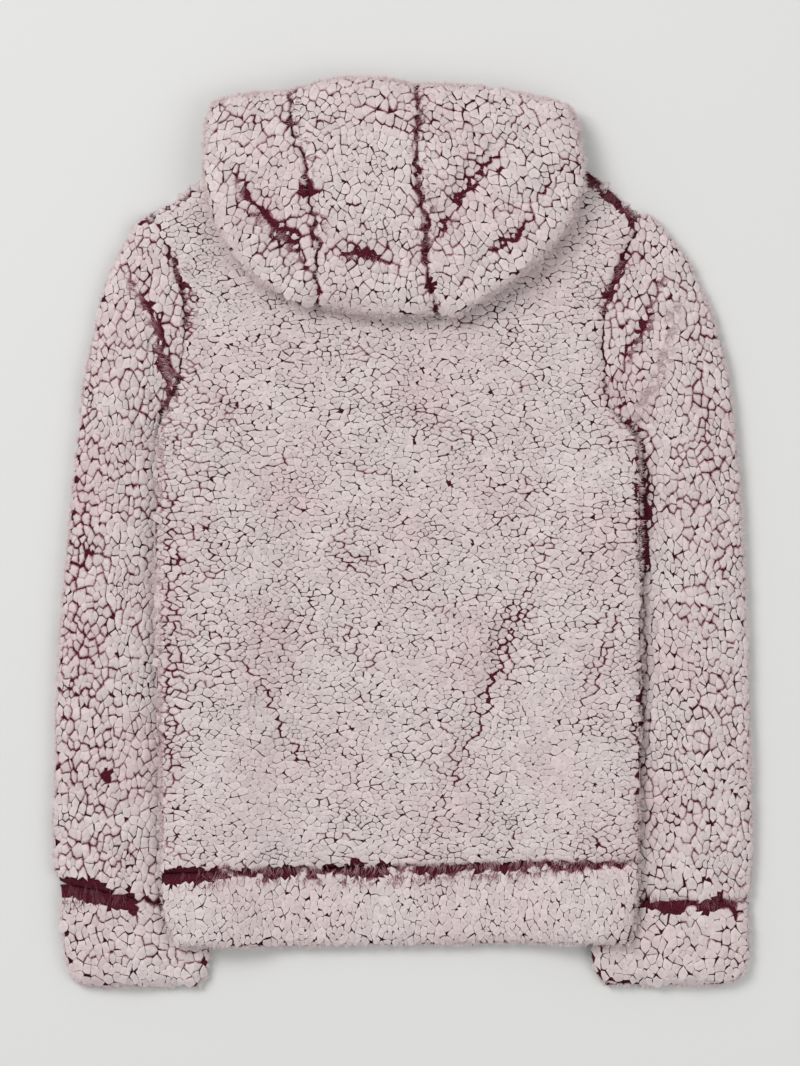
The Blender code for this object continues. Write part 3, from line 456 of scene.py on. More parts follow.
class Nodes:
    def __init__(self, name):
        self.material = bpy.data.materials.new(name)
        self.material.use_nodes = True
        self.tree = self.material.node_tree
        self.shader = self.tree.nodes["Principled BSDF"]

    def add(self, kind, settings, *inputs, output=0, **named):
        # a node of a type, with its settings, then the values or links of its sockets
        node = self.tree.nodes.new(kind)
        for key, value in settings.items():
            if key == "stops":
                for n, (place, colour) in enumerate(value):
                    stop = node.color_ramp.elements[n] if n < 2 else node.color_ramp.elements.new(place)
                    stop.position, stop.color = place, (*colour, 1)
            else:
                setattr(node, key, value)
        for key, value in [*enumerate(inputs), *named.items()]:
            self.feed(node.inputs[key], value)
        return Socket(self, node.outputs[output])

    def feed(self, socket, value):
        value = value.value if isinstance(value, Socket) else value
        if isinstance(value, bpy.types.NodeSocket):
            self.tree.links.new(value, socket)
        else:
            socket.default_value = value

    def mix(self, factor, a, b, blend="MIX"):
        # a colour between two others
        node = self.tree.nodes.new("ShaderNodeMix")
        node.data_type, node.blend_type = "RGBA", blend
        for index, value in ((0, factor), (6, a), (7, b)):
            self.feed(node.inputs[index], (*value, 1) if isinstance(value, tuple) else value)
        return Socket(self, node.outputs[2])

    def place(self):
        return self.add("ShaderNodeTexCoord", {}, output=3)

    def noise(self, scale, detail=2.0, vector=None):
        return self.add("ShaderNodeTexNoise", {}, Vector=vector or self.place(), Scale=scale, Detail=detail)

    def split(self, colour, kind="ShaderNodeSeparateColor"):
        # the three parts of a colour or vector
        node = self.add(kind, {}, colour).value.node
        return [Socket(self, output) for output in node.outputs[:3]]

    def bump(self, height, distance, strength=1.0):
        return self.add("ShaderNodeBump", {}, Strength=strength, Distance=distance, Height=height)

    def finish(self, **sockets):
        for key, value in sockets.items():
            self.feed(self.shader.inputs[key.replace("_", " ")], value)
        return self.material


pileColours = {
    "root": (0.070, 0.009, 0.019),
    "rootWarm": (0.150, 0.022, 0.042),
    "blush": (0.42, 0.190, 0.225),
    "shoulder": (0.700, 0.575, 0.582),
    "tip": (0.815, 0.705, 0.704),
}


def curlMaterial():
    # pale tips over burgundy roots. The pile attribute holds height from root to tip, a value for each
    # curl, and warmth; the lie attribute holds the place in the curl's own plane, in millimetres. Fibres
    # are noise stretched from the curl's middle outwards, which breaks the blend up as fibres do
    n = Nodes("curledFleece")
    height, own, warm = n.split(n.add("ShaderNodeAttribute", {"attribute_name": "pile"}))
    lie = n.add("ShaderNodeAttribute", {"attribute_name": "lie"}, output=1)
    u, v, key = n.split(lie, "ShaderNodeSeparateXYZ")
    fine = n.noise(900.0, 3.0)
    broad = n.noise(240.0, 2.0)
    away = (u * u + v * v) ** 0.5
    turn = v.math("ARCTAN2", u) + (broad - 0.5) * 1.6 + away * (own - 0.5) * 0.35
    strand = n.noise(1.0, 2.5, n.add("ShaderNodeCombineXYZ", {}, turn * 5.5, away * 0.55, key))
    feather = (1.0 - height) * 1.5 + 0.38
    broken = height + (strand - 0.5) * feather + (fine - 0.5) * 0.28 + (broad - 0.5) * 0.12
    c = pileColours
    ramp = n.add("ShaderNodeValToRGB", {"stops": [
        (0.0, c["root"]), (0.85, c["tip"]), (0.16, c["rootWarm"]),
        (0.42, c["blush"]), (0.64, c["shoulder"]),
    ]}, broken)
    tinted = n.mix(warm, ramp, (0.97, 0.90, 0.91), "MULTIPLY")
    uneven = own + (broad - 0.5) * 0.9 + (strand - 0.5) * 2.2
    shade = n.add("ShaderNodeMapRange", {}, uneven, 0.0, 1.0, 0.90, 1.05)
    grey = n.add("ShaderNodeCombineColor", {}, shade, shade, shade)
    colour = n.mix(1.0, tinted, grey, "MULTIPLY")
    relief = n.bump(strand * 1.0 + fine * 0.5, 0.0007, 0.8)
    return n.finish(Base_Color=colour, Roughness=0.95, Normal=relief, Sheen_Weight=0.25,
                    Sheen_Roughness=0.6, Specular_IOR_Level=0.12)


def backingMaterial():
    # the dark knit and the roots that stand on it
    n = Nodes("burgundyBacking")
    fine = n.noise(700.0, 4.0)
    colour = n.add("ShaderNodeValToRGB", {"stops": [
        (0.30, (0.050, 0.006, 0.013)), (0.85, (0.200, 0.042, 0.066)), (0.6, (0.105, 0.015, 0.030)),
    ]}, fine)
    return n.finish(Base_Color=colour, Roughness=0.97, Normal=n.bump(fine, 0.0012), Specular_IOR_Level=0.1)


def fibreMaterial():
    # the pile attribute holds the tone along a fibre, from burgundy to pale
    n = Nodes("looseFibres")
    tone, _, _ = n.split(n.add("ShaderNodeAttribute", {"attribute_name": "pile"}))
    c = pileColours
    colour = n.add("ShaderNodeValToRGB", {"stops": [
        (0.0, c["rootWarm"]), (0.9, c["tip"]), (0.35, (0.20, 0.06, 0.08)), (0.6, c["blush"]),
    ]}, tone)
    return n.finish(Base_Color=colour, Roughness=0.95, Sheen_Weight=0.3, Specular_IOR_Level=0.1)


curls, backing, fibres = curlMaterial(), backingMaterial(), fibreMaterial()
print("materials made")

# ---------------------------------------------------------------- the curls' places

offSurface, deepest = 0.05, 30.0  # rays start this far off a surface, and thickness counts up to this
shapes = {name: cadArrays(name) for name in panelNames}
allTriangles = np.concatenate([points[corners] for points, corners, _ in shapes.values()])


def scatterPanel(name, number):
    # places on a panel's surface no nearer than the local spacing: points thrown at random over
    # its triangles by area, each kept if it is clear of those kept before; then what is covered goes
    points, corners, normals = shapes[name]
    spacing, opening, stretch, turn = panels[name][:4]
    a, b, c = (points[corners[:, n]] for n in range(3))
    area = np.linalg.norm(np.cross(b - a, c - a), axis=1) / 2
    count = int(area.sum() / spacing ** 2 * fleece["thrown"])
    pick = np.searchsorted(np.cumsum(area) / area.sum(), rng.random(count)).clip(0, len(area) - 1)
    u, v = rng.random((2, count))
    u, v = np.where(u + v > 1, 1 - u, u), np.where(u + v > 1, 1 - v, v)
    weights = np.stack([1 - u - v, u, v], axis=1)[..., None]
    place = (points[corners[pick]] * weights).sum(1)
    normal = unit((normals[corners[pick]] * weights).sum(1))
    clear = castRays(place + offSurface * normal, normal, allTriangles, fleece["covered"])
    keep = (clear >= fleece["covered"] - 0.1) | (place[:, 2] < 0.3)
    place, normal = place[keep], normal[keep]
    under = (normal[:, 2] < -0.45) & (place[:, 2] < 5)
    share, add = zoneFields(place[:, 0], place[:, 1])
    wander = unevenField(place[:, 0], place[:, 1], 42, number + 0.3)
    usual = spacing * np.where(under, fleece["underneath"], share * (1 + 0.2 * wander))
    local = usual * (0.78 + 0.46 * rng.random(len(place)))
    angle = np.radians(turn)
    along = np.array([np.cos(angle), np.sin(angle), 0.0])
    across = np.array([-np.sin(angle), np.cos(angle), 0.0])
    flat = np.stack([place @ along / stretch, place @ across * stretch, place[:, 2]], axis=1)
    kept = np.empty(0, int)
    for part in strips(np.arange(len(place)), 700):
        if len(kept):
            near = (flat[kept, 1] > flat[part, 1].min() - 12) & (flat[kept, 1] < flat[part, 1].max() + 12)
            other = kept[near]
            away = np.linalg.norm(flat[part][:, None] - flat[other], axis=-1)
            part = part[(away > local[part][:, None]).all(1)]
        away = np.linalg.norm(flat[part][:, None] - flat[part], axis=-1)
        clash = np.tril(away < local[part][:, None], -1)
        kept = np.concatenate([kept, part[~clash.any(1)]])
    depth = castRays(place[kept] - offSurface * normal[kept], -normal[kept], points[corners], deepest)
    return {
        "place": place[kept], "normal": normal[kept], "under": under[kept], "spacing": usual[kept],
        "opening": opening + add[kept], "thick": depth, "panel": np.full(len(kept), number),
        "along": np.tile(along, (len(kept), 1)), "stretch": np.full(len(kept), stretch),
    }


scattered = [scatterPanel(name, n) for n, name in enumerate(panelNames)]
curl = {key: np.concatenate([s[key] for s in scattered]) for key in scattered[0]}
total = len(curl["place"])
print("curls placed:", total, "of which underneath:", int(curl["under"].sum()))


def nearest(points, number):
    # indices of the nearest other points, found in strips along y
    order = np.argsort(points[:, 1])
    found = np.zeros((len(points), number), int)
    for part in strips(order, 250):
        y = points[part, 1]
        near = np.nonzero((points[:, 1] > y.min() - 26) & (points[:, 1] < y.max() + 26))[0]
        away = np.linalg.norm(points[part][:, None] - points[near], axis=-1)
        away[part[:, None] == near[None]] = 1e6
        found[part] = near[np.argpartition(away, number, axis=1)[:, :number]]
    return found


place, normal = curl["place"], curl["normal"]
other = nearest(place, fleece["neighbours"])
along = unit(curl["along"] - dot(curl["along"], normal)[:, None] * normal + 1e-6)
across = np.cross(normal, along)

x, y = place[:, 0], place[:, 1]
partOpening, partDepth, cracks = partingFields(x, y)
onTop = normal[:, 2] > 0.1
rim = smooth((0.75 - normal[:, 2]) / 0.3) * smooth((place[:, 2] - 1) / 3)
opening = np.where(onTop, curl["opening"] + partOpening, curl["opening"])
trough = np.where(onTop, partDepth, 0)
opening = opening + 0.22 * unevenField(x, y, 60, 2.2) + 0.15 * unevenField(x, y, 23, 4.1)
opening = np.clip(opening, 0.06, 3.0)
opening *= (1 - 0.7 * rim) * np.where(onTop, combedShare(x, y), 1)


def seamWidth(first, second, x, y):
    # width of the gap between two panels' curls, 0 where they aren't sewn together, and the share of
    # it that lies on the first one's side
    width, own = np.zeros_like(x), np.full(second.shape, 0.5)
    for (a, b), (axis, share, table) in seams.items():
        a, b = panelNames.index(a), panelNames.index(b)
        places, widths = zip(*table)
        at = {"x": x, "y": y}[axis]
        forward, backward = (first == a) & (second == b), (first == b) & (second == a)
        width = np.where(forward | backward, np.interp(at, places, widths), width)
        own = np.where(forward, share, np.where(backward, 1 - share, own))
    return width, own


def clumps():
    # the clump of each curl: the nearest of a random few, so that long cracks run between them
    leaders = np.nonzero(rng.random(total) < fleece["clump"])[0]
    number = np.zeros(total, int)
    squash = np.stack([x * 0.72, y * 1.25, place[:, 2]], 1) + 3.0 * np.stack(
        [unevenField(x, y, 30, 8.1), unevenField(x, y, 30, 9.4), 0 * x], 1)
    for part in np.array_split(np.arange(total), 40):
        away = np.linalg.norm(squash[part][:, None] - squash[leaders], axis=-1)
        number[part] = away.argmin(1)
    return number


def growRadii(place, other, kept, angles):
    # radius of each curl in each direction: half way to each neighbour, less half the crack between
    # them, in a plane stretched along the nap; the least over the neighbours counts
    step = place[other] - place[:, None]
    far = np.linalg.norm(step, axis=-1)
    t, b, up = (dot(step, axis[:, None]) for axis in (along, across, normal))
    flat = np.maximum(np.hypot(t, b), 1e-6)
    t, b = t / flat * far, b / flat * far
    s = curl["stretch"][:, None]
    t, b = t / s, b * s
    (facingFar, facingUp), (closeFar, closeUp), (besideFar, besideTurn) = (
        fleece[key] for key in ("facing", "close", "beside"))
    spacing = curl["spacing"][:, None]
    real = (dot(normal[:, None], normal[other]) > -0.1) & (np.abs(up) < facingUp * far)
    real &= far < facingFar * spacing
    real |= (far < closeFar * spacing) & (np.abs(up) < closeUp * far)
    real &= kept[other]
    # the same chance for both curls of a pair, from their two numbers
    one = np.arange(total)[:, None]
    chance = (np.minimum(one, other) * 7919 + np.maximum(one, other)) % 10007 * 0.6180339 % 1.0
    between = (opening[:, None] + opening[other]) / 2
    inside = clump[:, None] == clump[other]
    width = between * np.where(inside, fleece["hairline"] * np.maximum(1.5 * chance - 0.5, 0.02),
                               fleece["crackWidth"] * (0.2 + 0.8 * chance ** 1.5))
    panel = curl["panel"]
    ragged = np.clip(0.62 + 0.6 * unevenField(x, y, 15, 6.2), 0.1, 1.3)
    sewn, ownShare = seamWidth(panel[:, None], panel[other], x[:, None], y[:, None])
    sewn = sewn * (ragged[:, None] + ragged[other]) / 2
    width = np.where(panel[:, None] != panel[other], np.maximum(sewn, 0.5), width)
    for side, crack in cracks:
        parted = (side[:, None] * side[other] < 0) & onTop[:, None] & onTop[other]
        width = np.where(parted, np.maximum(width, (crack[:, None] + crack[other]) / 2), width)
    size = fleece["unevenSize"] * curl["spacing"] ** 2 * (weight - 0.5)
    ct, cb = np.cos(angles) / s, np.sin(angles) * s
    reach = (t ** 2 + b ** 2 + size[:, None] - size[other]) / 2 - width * ownShare * np.hypot(t, b)
    slope = t[:, :, None] * ct[:, None] + b[:, :, None] * cb[:, None]
    radii = np.where((slope > 0.05) & real[:, :, None], reach[:, :, None] / np.maximum(slope, 0.05), 1e3)
    first = radii.argmin(1)
    radius = picked(radii, first[:, None])[:, 0]
    gap = picked(width, first)
    beside = real & (far < besideFar * spacing)
    bounded = (beside[:, :, None] & (slope > besideTurn * np.hypot(t, b)[:, :, None])).any(1)
    turned = curl["under"] | (normal[:, 2] < 0.25)
    limit = fleece["most"]
    most = np.where(turned | (rim > 0.3), limit["turned"], limit["top"])
    most = np.where((normal[:, 2] < 0) & (place[:, 2] > 3), limit["overhang"], most)
    most = np.where(curl["under"] & (normal[:, 2] < -0.93), limit["flat"], most)
    free = np.where(turned, limit["freeTurned"], limit["free"])
    cap = np.where(bounded, most[:, None], free[:, None]) * spacing
    gap = np.where(radius > cap, np.minimum(gap, 0.8), gap)
    radius = np.minimum(radius, cap)
    return radius, gap


def evenAngles(count):
    return np.tile(2 * np.pi * np.arange(count) / count, (total, 1))


def cornerAngles():
    # even directions, each moved to the curl's nearest corner, found among many fine directions
    few = fleece["directions"]
    many = 8 * few
    step = 2 * np.pi / many
    fine, _ = growRadii(place, other, whole, evenAngles(many))
    corner = (fine > np.roll(fine, 1, 1)) & (fine >= np.roll(fine, -1, 1))
    even = evenAngles(few) + (spin * 2 * np.pi / few)[:, None]
    index = np.rint(even / step).astype(int)
    best = even.copy()
    for shift in (4, -3, 3, -2, 2, -1, 1, 0):
        at = (index + shift) % many
        best = np.where(picked(corner, at), (index + shift) * step, best)
    return best


def keepInside():
    # a curl that faces down reaches no farther than the jacket: a direction whose end has nothing
    # straight over it is shortened
    down, past = whole & (normal[:, 2] < -0.3), 60.0
    curlAt, turnAt = np.nonzero(np.repeat(down[:, None], fleece["directions"], axis=1))
    for _ in range(3):
        way = inPlane(angles[curlAt, turnAt], along[curlAt], across[curlAt])
        end = place[curlAt] + radius[curlAt, turnAt][:, None] * way
        end[:, 2] = -1
        bare = castRays(end, np.tile([0.0, 0.0, 1.0], (len(end), 1)), allTriangles, past) > past - 1
        curlAt, turnAt = curlAt[bare], turnAt[bare]
        radius[curlAt, turnAt] *= fleece["shortened"]


weight, spin, clump = rng.random(total), rng.random(total), clumps()
whole = np.ones(total, bool)
for least in (0.8, 0.8, 0.5):  # a curl that is left too small goes, and its neighbours fill its place
    radius, gap = growRadii(place, other, whole, evenAngles(10))
    whole &= radius.min(1) > least
angles = cornerAngles()
radius, gap = growRadii(place, other, whole, angles)
radius *= 1 + fleece["ragged"] * rng.normal(0, 1, radius.shape).clip(-2, 2)
radius = np.maximum(radius, 0.3)
keepInside()
print("curls grown:", int(whole.sum()))


def edgeAt(turn, ang, r):
    # a curl's radius at a turn between two of its directions: where the straight edge between their
    # ends is met, kept between the two radii; and the number of the direction before it
    k = r.shape[1]
    before = (turn[:, :, None] >= ang[:, None]).sum(-1) - 1
    after = (before + 1) % k
    before = before % k
    first, second, rFirst, rSecond = (picked(v, at) for v in (ang, r) for at in (before, after))
    edge = rFirst * rSecond * np.sin(second - first)
    edge = edge / (rFirst * np.sin(turn - first) + rSecond * np.sin(second - turn))
    return np.clip(edge, 0.3 * np.minimum(rFirst, rSecond), np.maximum(rFirst, rSecond)), before


def curlFaces(k, m):
    # triangles of one curl: its top round the centre, its shoulder, its wall, and its wisps
    i = np.arange(k)
    j = np.roll(i, -1)
    ring, rest = ([1 + k * row + n for row in range(3)] for n in (i, j))
    wisp = 1 + 3 * k + np.arange(m)
    return np.concatenate([
        np.stack([i * 0, ring[0], rest[0]], 1), np.stack([ring[0], ring[1], rest[1]], 1),
        np.stack([ring[0], rest[1], rest[0]], 1), np.stack([ring[1], ring[2], rest[2]], 1),
        np.stack([ring[1], rest[2], rest[1]], 1), np.stack([wisp, wisp + m, wisp + 2 * m], 1),
    ])


def curlMap(k, m):
    # a curl's rings lie round the middle of its square of the map, and its wisps in the four corners,
    # clear of the disc
    turn = 2 * np.pi * np.arange(k) / k
    circle = np.stack([np.cos(turn), np.sin(turn)], 1)
    w = np.arange(m)
    corner = np.stack([np.where(w % 2, 0.02, 0.91), np.where(w % 4 < 2, 0.02, 0.91)], 1)
    return np.concatenate([
        [[0.5, 0.5]], 0.5 + 0.26 * circle, 0.5 + 0.38 * circle, 0.5 + 0.47 * circle,
        corner, corner + [0.06, 0.0], corner + [0.03, 0.07],
    ])


def curlMesh(select, name):
    # one joined mesh of curls: a centre, a soft top, an edge and roots down to the backing, and
    # pointed wisps from the top out over the edge; on the underside the tips lie flat on the floor
    p, nrm, al, ac = place[select], normal[select], along[select], across[select]
    r, g, ang = radius[select], gap[select], angles[select]
    n, k = r.shape
    m = fleece["wisps"]
    size = r.mean(1)
    high = fleece["unevenHeight"] * rng.normal(0, 1, n).clip(-1.6, 1.6)
    high += fleece["sizeRise"][0] * (size - fleece["sizeRise"][1]) - trough[select]
    dome = (fleece["crown"][0] + fleece["crown"][1] * opening[select].clip(0, 1.5)) * size
    openness = smooth((g - 0.05) / 0.95)
    depth = fleece["closedDepth"] + (fleece["rootDepth"] - fleece["closedDepth"]) * openness
    depth = np.minimum(depth, 0.55 * curl["thick"][select][:, None])
    tipShare = fleece["tipRing"][0] - fleece["tipRing"][1] * openness + rng.uniform(-0.05, 0.05, (n, k))
    turn = ang[:, :1] + 2 * np.pi * (np.arange(m) + rng.uniform(-0.5, 0.5, (n, m))) / m
    edge, before = edgeAt(turn, ang, r)
    wispGap, wispOpen = picked(g, before).clip(0, 1.3), picked(openness, before)
    start = rng.uniform(0.15, 0.72, (n, m)) * edge
    end = edge + wispGap * rng.uniform(0.0, 0.75, (n, m)) + rng.uniform(-0.35, 0.25, (n, m))
    endTurn = turn + rng.uniform(-0.35, 0.35, (n, m))
    startU, startV = start * np.cos(turn), start * np.sin(turn)
    stepU, stepV = end * np.cos(endTurn) - startU, end * np.sin(endTurn) - startV
    half = fleece["wispHalf"] * rng.uniform(0.7, 1.3, (n, m)) / np.maximum(np.hypot(stepU, stepV), 0.2)

    def onPlane(u, v, rise):
        # points at places in the curl's own plane, along and across, and a rise above it
        flat = p[:, None] + u[..., None] * al[:, None] + v[..., None] * ac[:, None]
        return flat + rise[..., None] * nrm[:, None]

    def at(turn, out, rise):
        # points round each curl, at a turn, a distance out from its middle and a rise
        flat = inPlane(turn, al[:, None], ac[:, None])
        return p[:, None] + flat * out[..., None] + nrm[:, None] * rise[..., None]

    top = high[:, None] + dome[:, None] * 0.4
    foot = top + 0.7 * dome[:, None] - 0.05 + 0 * start
    verts = np.concatenate([
        (p + nrm * (high + dome)[:, None])[:, None],
        at(ang, tipShare * r, top + rng.normal(0, 0.07, (n, k))),
        at(ang, r, high[:, None] - 0.05 - 0.6 * openness + rng.normal(0, 0.05, (n, k))),
        at(ang, r + g * 0.5 + fleece["overlap"], high[:, None] - depth),
        onPlane(startU - stepV * half, startV + stepU * half, foot),
        onPlane(startU + stepV * half, startV - stepU * half, foot),
        onPlane(startU + stepU, startV + stepV,
                top + 0.1 - rng.uniform(0.0, 0.5, (n, m)) * (0.3 + wispOpen)),  # the wisps' ends
    ], axis=1)
    verts[..., 2] = np.maximum(verts[..., 2], fleece["floor"])
    warm = np.clip(0.25 + 0.35 * unevenField(p[:, 0], p[:, 1], 90, 1.3), 0, 1)
    own = rng.random(n)
    heights = np.concatenate([
        np.full((n, 1), 1.0), np.full((n, k), 0.94) - 0.06 * openness,
        0.88 - 0.36 * smooth(g / 0.75) - 0.05 * rng.random((n, k)), 0.42 - 0.40 * openness,
        np.full((n, 2 * m), 0.97), rng.uniform(0.74, 0.95, (n, m)) - 0.12 * wispOpen,
    ], axis=1)
    pile = np.stack(np.broadcast_arrays(heights, own[:, None], warm[:, None]), axis=-1)
    away = verts - p[:, None]
    flat = dot(away, al[:, None]), dot(away, ac[:, None])
    lie = np.stack(np.broadcast_arrays(*flat, own[:, None] * 60), axis=-1)
    template = curlFaces(k, m)
    faces = repeatFaces(template, n, verts.shape[1])
    # a curl hemmed in by its neighbours has no wall that shows, and one underneath has no wisps
    shut = (g.max(1) < 0.9) & (nrm[:, 2] > 0.75)
    row = np.arange(len(template))
    dropped = shut[:, None] & (row >= 3 * k) & (row < 5 * k)
    dropped |= curl["under"][select][:, None] & (row >= 5 * k)
    used, faces = np.unique(faces[~dropped], return_inverse=True)
    made = (verts, squareMap(curlMap(k, m), n), pile, lie)
    verts, uv, pile, lie = (values.reshape(-1, values.shape[-1])[used] for values in made)
    return makePiece(name, verts, faces.reshape(-1, 3), curls, uv, pile, lie)


def dress(piece, replaced=None):
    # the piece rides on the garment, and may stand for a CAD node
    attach(piece, "garment")
    if replaced:
        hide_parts(replaced)
    return piece


curlPieces = {}
for number, name in enumerate(panelNames):
    chosen = np.nonzero(whole & (curl["panel"] == number))[0]
    chosen = chosen[np.argsort(place[chosen, 1])]
    parts = np.array_split(chosen, int(np.ceil(len(chosen) / fleece["mostInPiece"])))
    labels = [f"_{n + 1}" if len(parts) > 1 else "" for n in range(len(parts))]
    curlPieces[name] = [dress(curlMesh(part, f"{name}_curls{label}"))
                        for part, label in zip(parts, labels)]
print("curls made")

# ---------------------------------------------------------------- loose fibres

fuzz = {
    "perRimCurl": 34,
    "rimLength": (2.2, 5.2),
    "rimHalf": 0.26,
    "width": 0.52,  # of a blade in a seam or crease
    "tilt": 0.35,  # how far a fibre's flat side turns from facing up
    "bend": 0.13,  # of a blade, as a share of its length
    "sunk": 2.2,  # depth of a blade's root
    "raised": 2.5,  # height of its outer half over its root
    "batches": 20,
}


def fibrePiece(name, verts, template, local, tones):
    # one joined mesh of flat fibres, each with the same faces and its own square of the map
    n, size = verts.shape[:2]
    verts[..., 2] = np.maximum(verts[..., 2], fleece["floor"])
    faces, uv = repeatFaces(template, n, size).reshape(-1, 3), squareMap(local, n).reshape(-1, 2)
    pile = np.clip(tones, 0, 1)[..., None] * np.ones(3)
    return dress(makePiece(name, verts.reshape(-1, 3), faces, fibres, uv, pile.reshape(-1, 3)))


def sideways(directions):
    # a direction across each fibre, so that its flat side faces about upwards
    up = np.array([0, 0, 1.0]) + rng.normal(0, fuzz["tilt"], directions.shape)
    return unit(np.cross(directions, up))


def bladeFibres(name, roots, directions, lengths, rootTones, tipTones):
    # flat tapering blades, each bent a little: a lower half of two faces and a tip of one. The lower
    # half rises out of the pile and the outer half lies level on it
    side = sideways(directions) * fuzz["width"] / 2
    bend = rng.normal(0, fuzz["bend"], roots.shape) * lengths[:, None]
    lift = [0, 0, fuzz["raised"]]
    middle = roots + directions * lengths[:, None] * 0.5 + bend * 0.3 + lift
    tip = roots + directions * lengths[:, None] + bend + lift
    verts = np.stack([roots - side, roots + side, middle - side * 0.8, middle + side * 0.8, tip], 1)
    tones = rootTones[:, None] + (tipTones - rootTones)[:, None] * np.array([0.0, 0.0, 0.5, 0.5, 1.0])
    local = [[0.15, 0.1], [0.85, 0.1], [0.22, 0.5], [0.78, 0.5], [0.5, 0.92]]
    return fibrePiece(name, verts, [[0, 1, 3], [0, 3, 2], [2, 3, 4]], local, tones)


def curlFibres(name, select, number, lengths, outward, upward, rootTone, tipTone, sink):
    # one pointed face for each fibre, from random places near the edges of curls, leaning outwards
    i = np.repeat(select, number)
    k = rng.integers(0, fleece["directions"], len(i))
    out = inPlane(angles[i, k], along[i], across[i])
    root = place[i] + out * (radius[i, k] * rng.uniform(0.35, 0.95, len(i)))[:, None]
    root -= normal[i] * (trough[i] + sink)[:, None]
    direction = unit(out * outward + normal[i] * upward + rng.normal(0, 0.3, (len(i), 3)))
    spread = rng.normal(0, 0.05, len(i))
    long = rng.uniform(*lengths, len(i))
    side = sideways(direction) * fuzz["rimHalf"]
    verts = np.stack([root - side, root + side, root + direction * long[:, None]], 1)
    tones = np.stack([rootTone + spread, rootTone + spread, tipTone + spread], 1)
    return fibrePiece(name, verts, [[0, 1, 2]], [[0.15, 0.1], [0.85, 0.1], [0.5, 0.9]], tones)


steep, nearFloor = 0.62, 1.5  # a curl is the rim's if its normal rises less than this, above this height
topCurls = np.nonzero(whole & ~curl["under"] & (normal[:, 2] >= steep))[0]
rimCurls = np.nonzero(whole & ~curl["under"] & (normal[:, 2] < steep) & (place[:, 2] > nearFloor))[0]


def nearestTop(x0, y0):
    # the curl on top that is nearest to each place, in batches
    batches = zip(np.array_split(x0, fuzz["batches"]), np.array_split(y0, fuzz["batches"]))
    return np.concatenate([topCurls[np.hypot(x[topCurls] - a[:, None], y[topCurls] - b[:, None]).argmin(1)]
                           for a, b in batches])


def fringeFibres():
    # fibres along the fringe lines, in uneven bunches; each root's height is that of the nearest
    # curl's own plane
    made = []
    for points, halfWidth, lean, both, length, dense, rootTone, tipTone in fringes:
        p = np.array(points, float)
        starts = np.concatenate([[0], np.cumsum(np.linalg.norm(np.diff(p, axis=0), axis=1))])
        n = int(starts[-1] * dense)
        t = np.sort(rng.random(n)) * starts[-1]
        bunched = 0.62 + 0.9 * unevenField(t, 0 * t, 6, 1.9) + 0.4 * unevenField(t, 0 * t, 24, 3.9)
        t = t[rng.random(n) < np.clip(bunched, 0.04, 1)]
        n = len(t)
        side = np.radians(lean)
        step = rng.normal(0, 0.5, n).clip(-1, 1) * halfWidth
        x0 = np.interp(t, starts, p[:, 0]) + step * np.cos(side) + rng.normal(0, 0.5, n)
        y0 = np.interp(t, starts, p[:, 1]) + step * np.sin(side) + rng.normal(0, 0.5, n)
        lock = 26 * unevenField(t, 0 * t, 9, 2.7) + rng.normal(0, 8, n)
        turn = np.radians(lean + lock) + np.pi * (both * (rng.random(n) < 0.5))
        way = np.stack([np.cos(turn), np.sin(turn), rng.uniform(0.02, 0.22, n)], 1)
        top = nearestTop(x0, y0)
        slope = normal[top]
        z0 = place[top, 2] - (slope[:, 0] * (x0 - x[top]) + slope[:, 1] * (y0 - y[top])) / slope[:, 2]
        root = np.stack([x0, y0, z0 - trough[top] - fuzz["sunk"]], 1)
        long = length * rng.uniform(0.65, 1.15, n)
        tone = rng.normal(0, 0.05, n)
        made.append((root, unit(way), long, rootTone + tone, tipTone + tone))
    return bladeFibres("fringe_fibres", *(np.concatenate(part) for part in zip(*made)))


print("rim curls:", len(rimCurls), "top curls:", len(topCurls))
loose = [
    curlFibres("rim_fuzz", rimCurls, fuzz["perRimCurl"], fuzz["rimLength"], 0.35, 0.75, 0.78, 0.97, 0.8),
    fringeFibres(),
]
print("fibres made:", [len(piece.data.polygons) for piece in loose])

# ---------------------------------------------------------------- the backing under the curls

mostInset, sewnReach = 0.32, 1.5  # as a share of the panel's thickness, and how near a sewn panel is
for name in panelNames:
    points, corners, normals = shapes[name]
    thick = castRays(points - offSurface * normals, -normals, points[corners], deepest)
    others = np.concatenate([shapes[n][0][shapes[n][1]] for n in panelNames if n != name])
    sewn = castRays(points, normals, others, sewnReach) < sewnReach - 0.1
    inset = np.where(sewn, 0.0, np.minimum(fleece["backingInset"], mostInset * thick))
    inner = points - normals * inset[:, None]
    inner[:, 2] = np.maximum(inner[:, 2], 0.05)
    cloth = dress(makePiece(f"{name}_backing", inner, corners, backing), name)
    curlPieces[name] + (loose if name == "back" else [])
print("backing made")

# ---------------------------------------------------------------- the zip

zipSizes = {
    "middle": -3.2, "bottom": -338.8, "toothEnd": 246.2, "height": 4.8,
    "pitch": 3.2,  # of the teeth on one side
    "outer": 2.25, "reach": 0.95,  # from the zip's middle to a tooth's foot, and how far it passes it
    "neck": 0.44, "head": 0.80, "thick": 0.86,  # half sizes of a tooth
    # a tooth's sections: share of its length, and size there; the neck widens from one share over another
    "sections": [(0.0, 0.72), (0.07, 1.0), (0.42, 1.0), (0.60, 1.0), (0.90, 1.0), (1.0, 0.70)],
    "widens": (0.40, 0.22), "around": 8,
    "tapeTop": 262.0, "tapeInner": 0.15, "tapeOuter": 5.95, "tapeHeight": 6.7, "tapeThick": 0.62,
    "tapeRows": 181, "tapeAround": 20,
}


def power(values, exponent):
    # a power that keeps the sign
    return np.sign(values) * np.abs(values) ** exponent


def stepsRound(count):
    # numbers round a ring, and the next after each
    i = np.arange(count)
    return i, np.roll(i, -1)


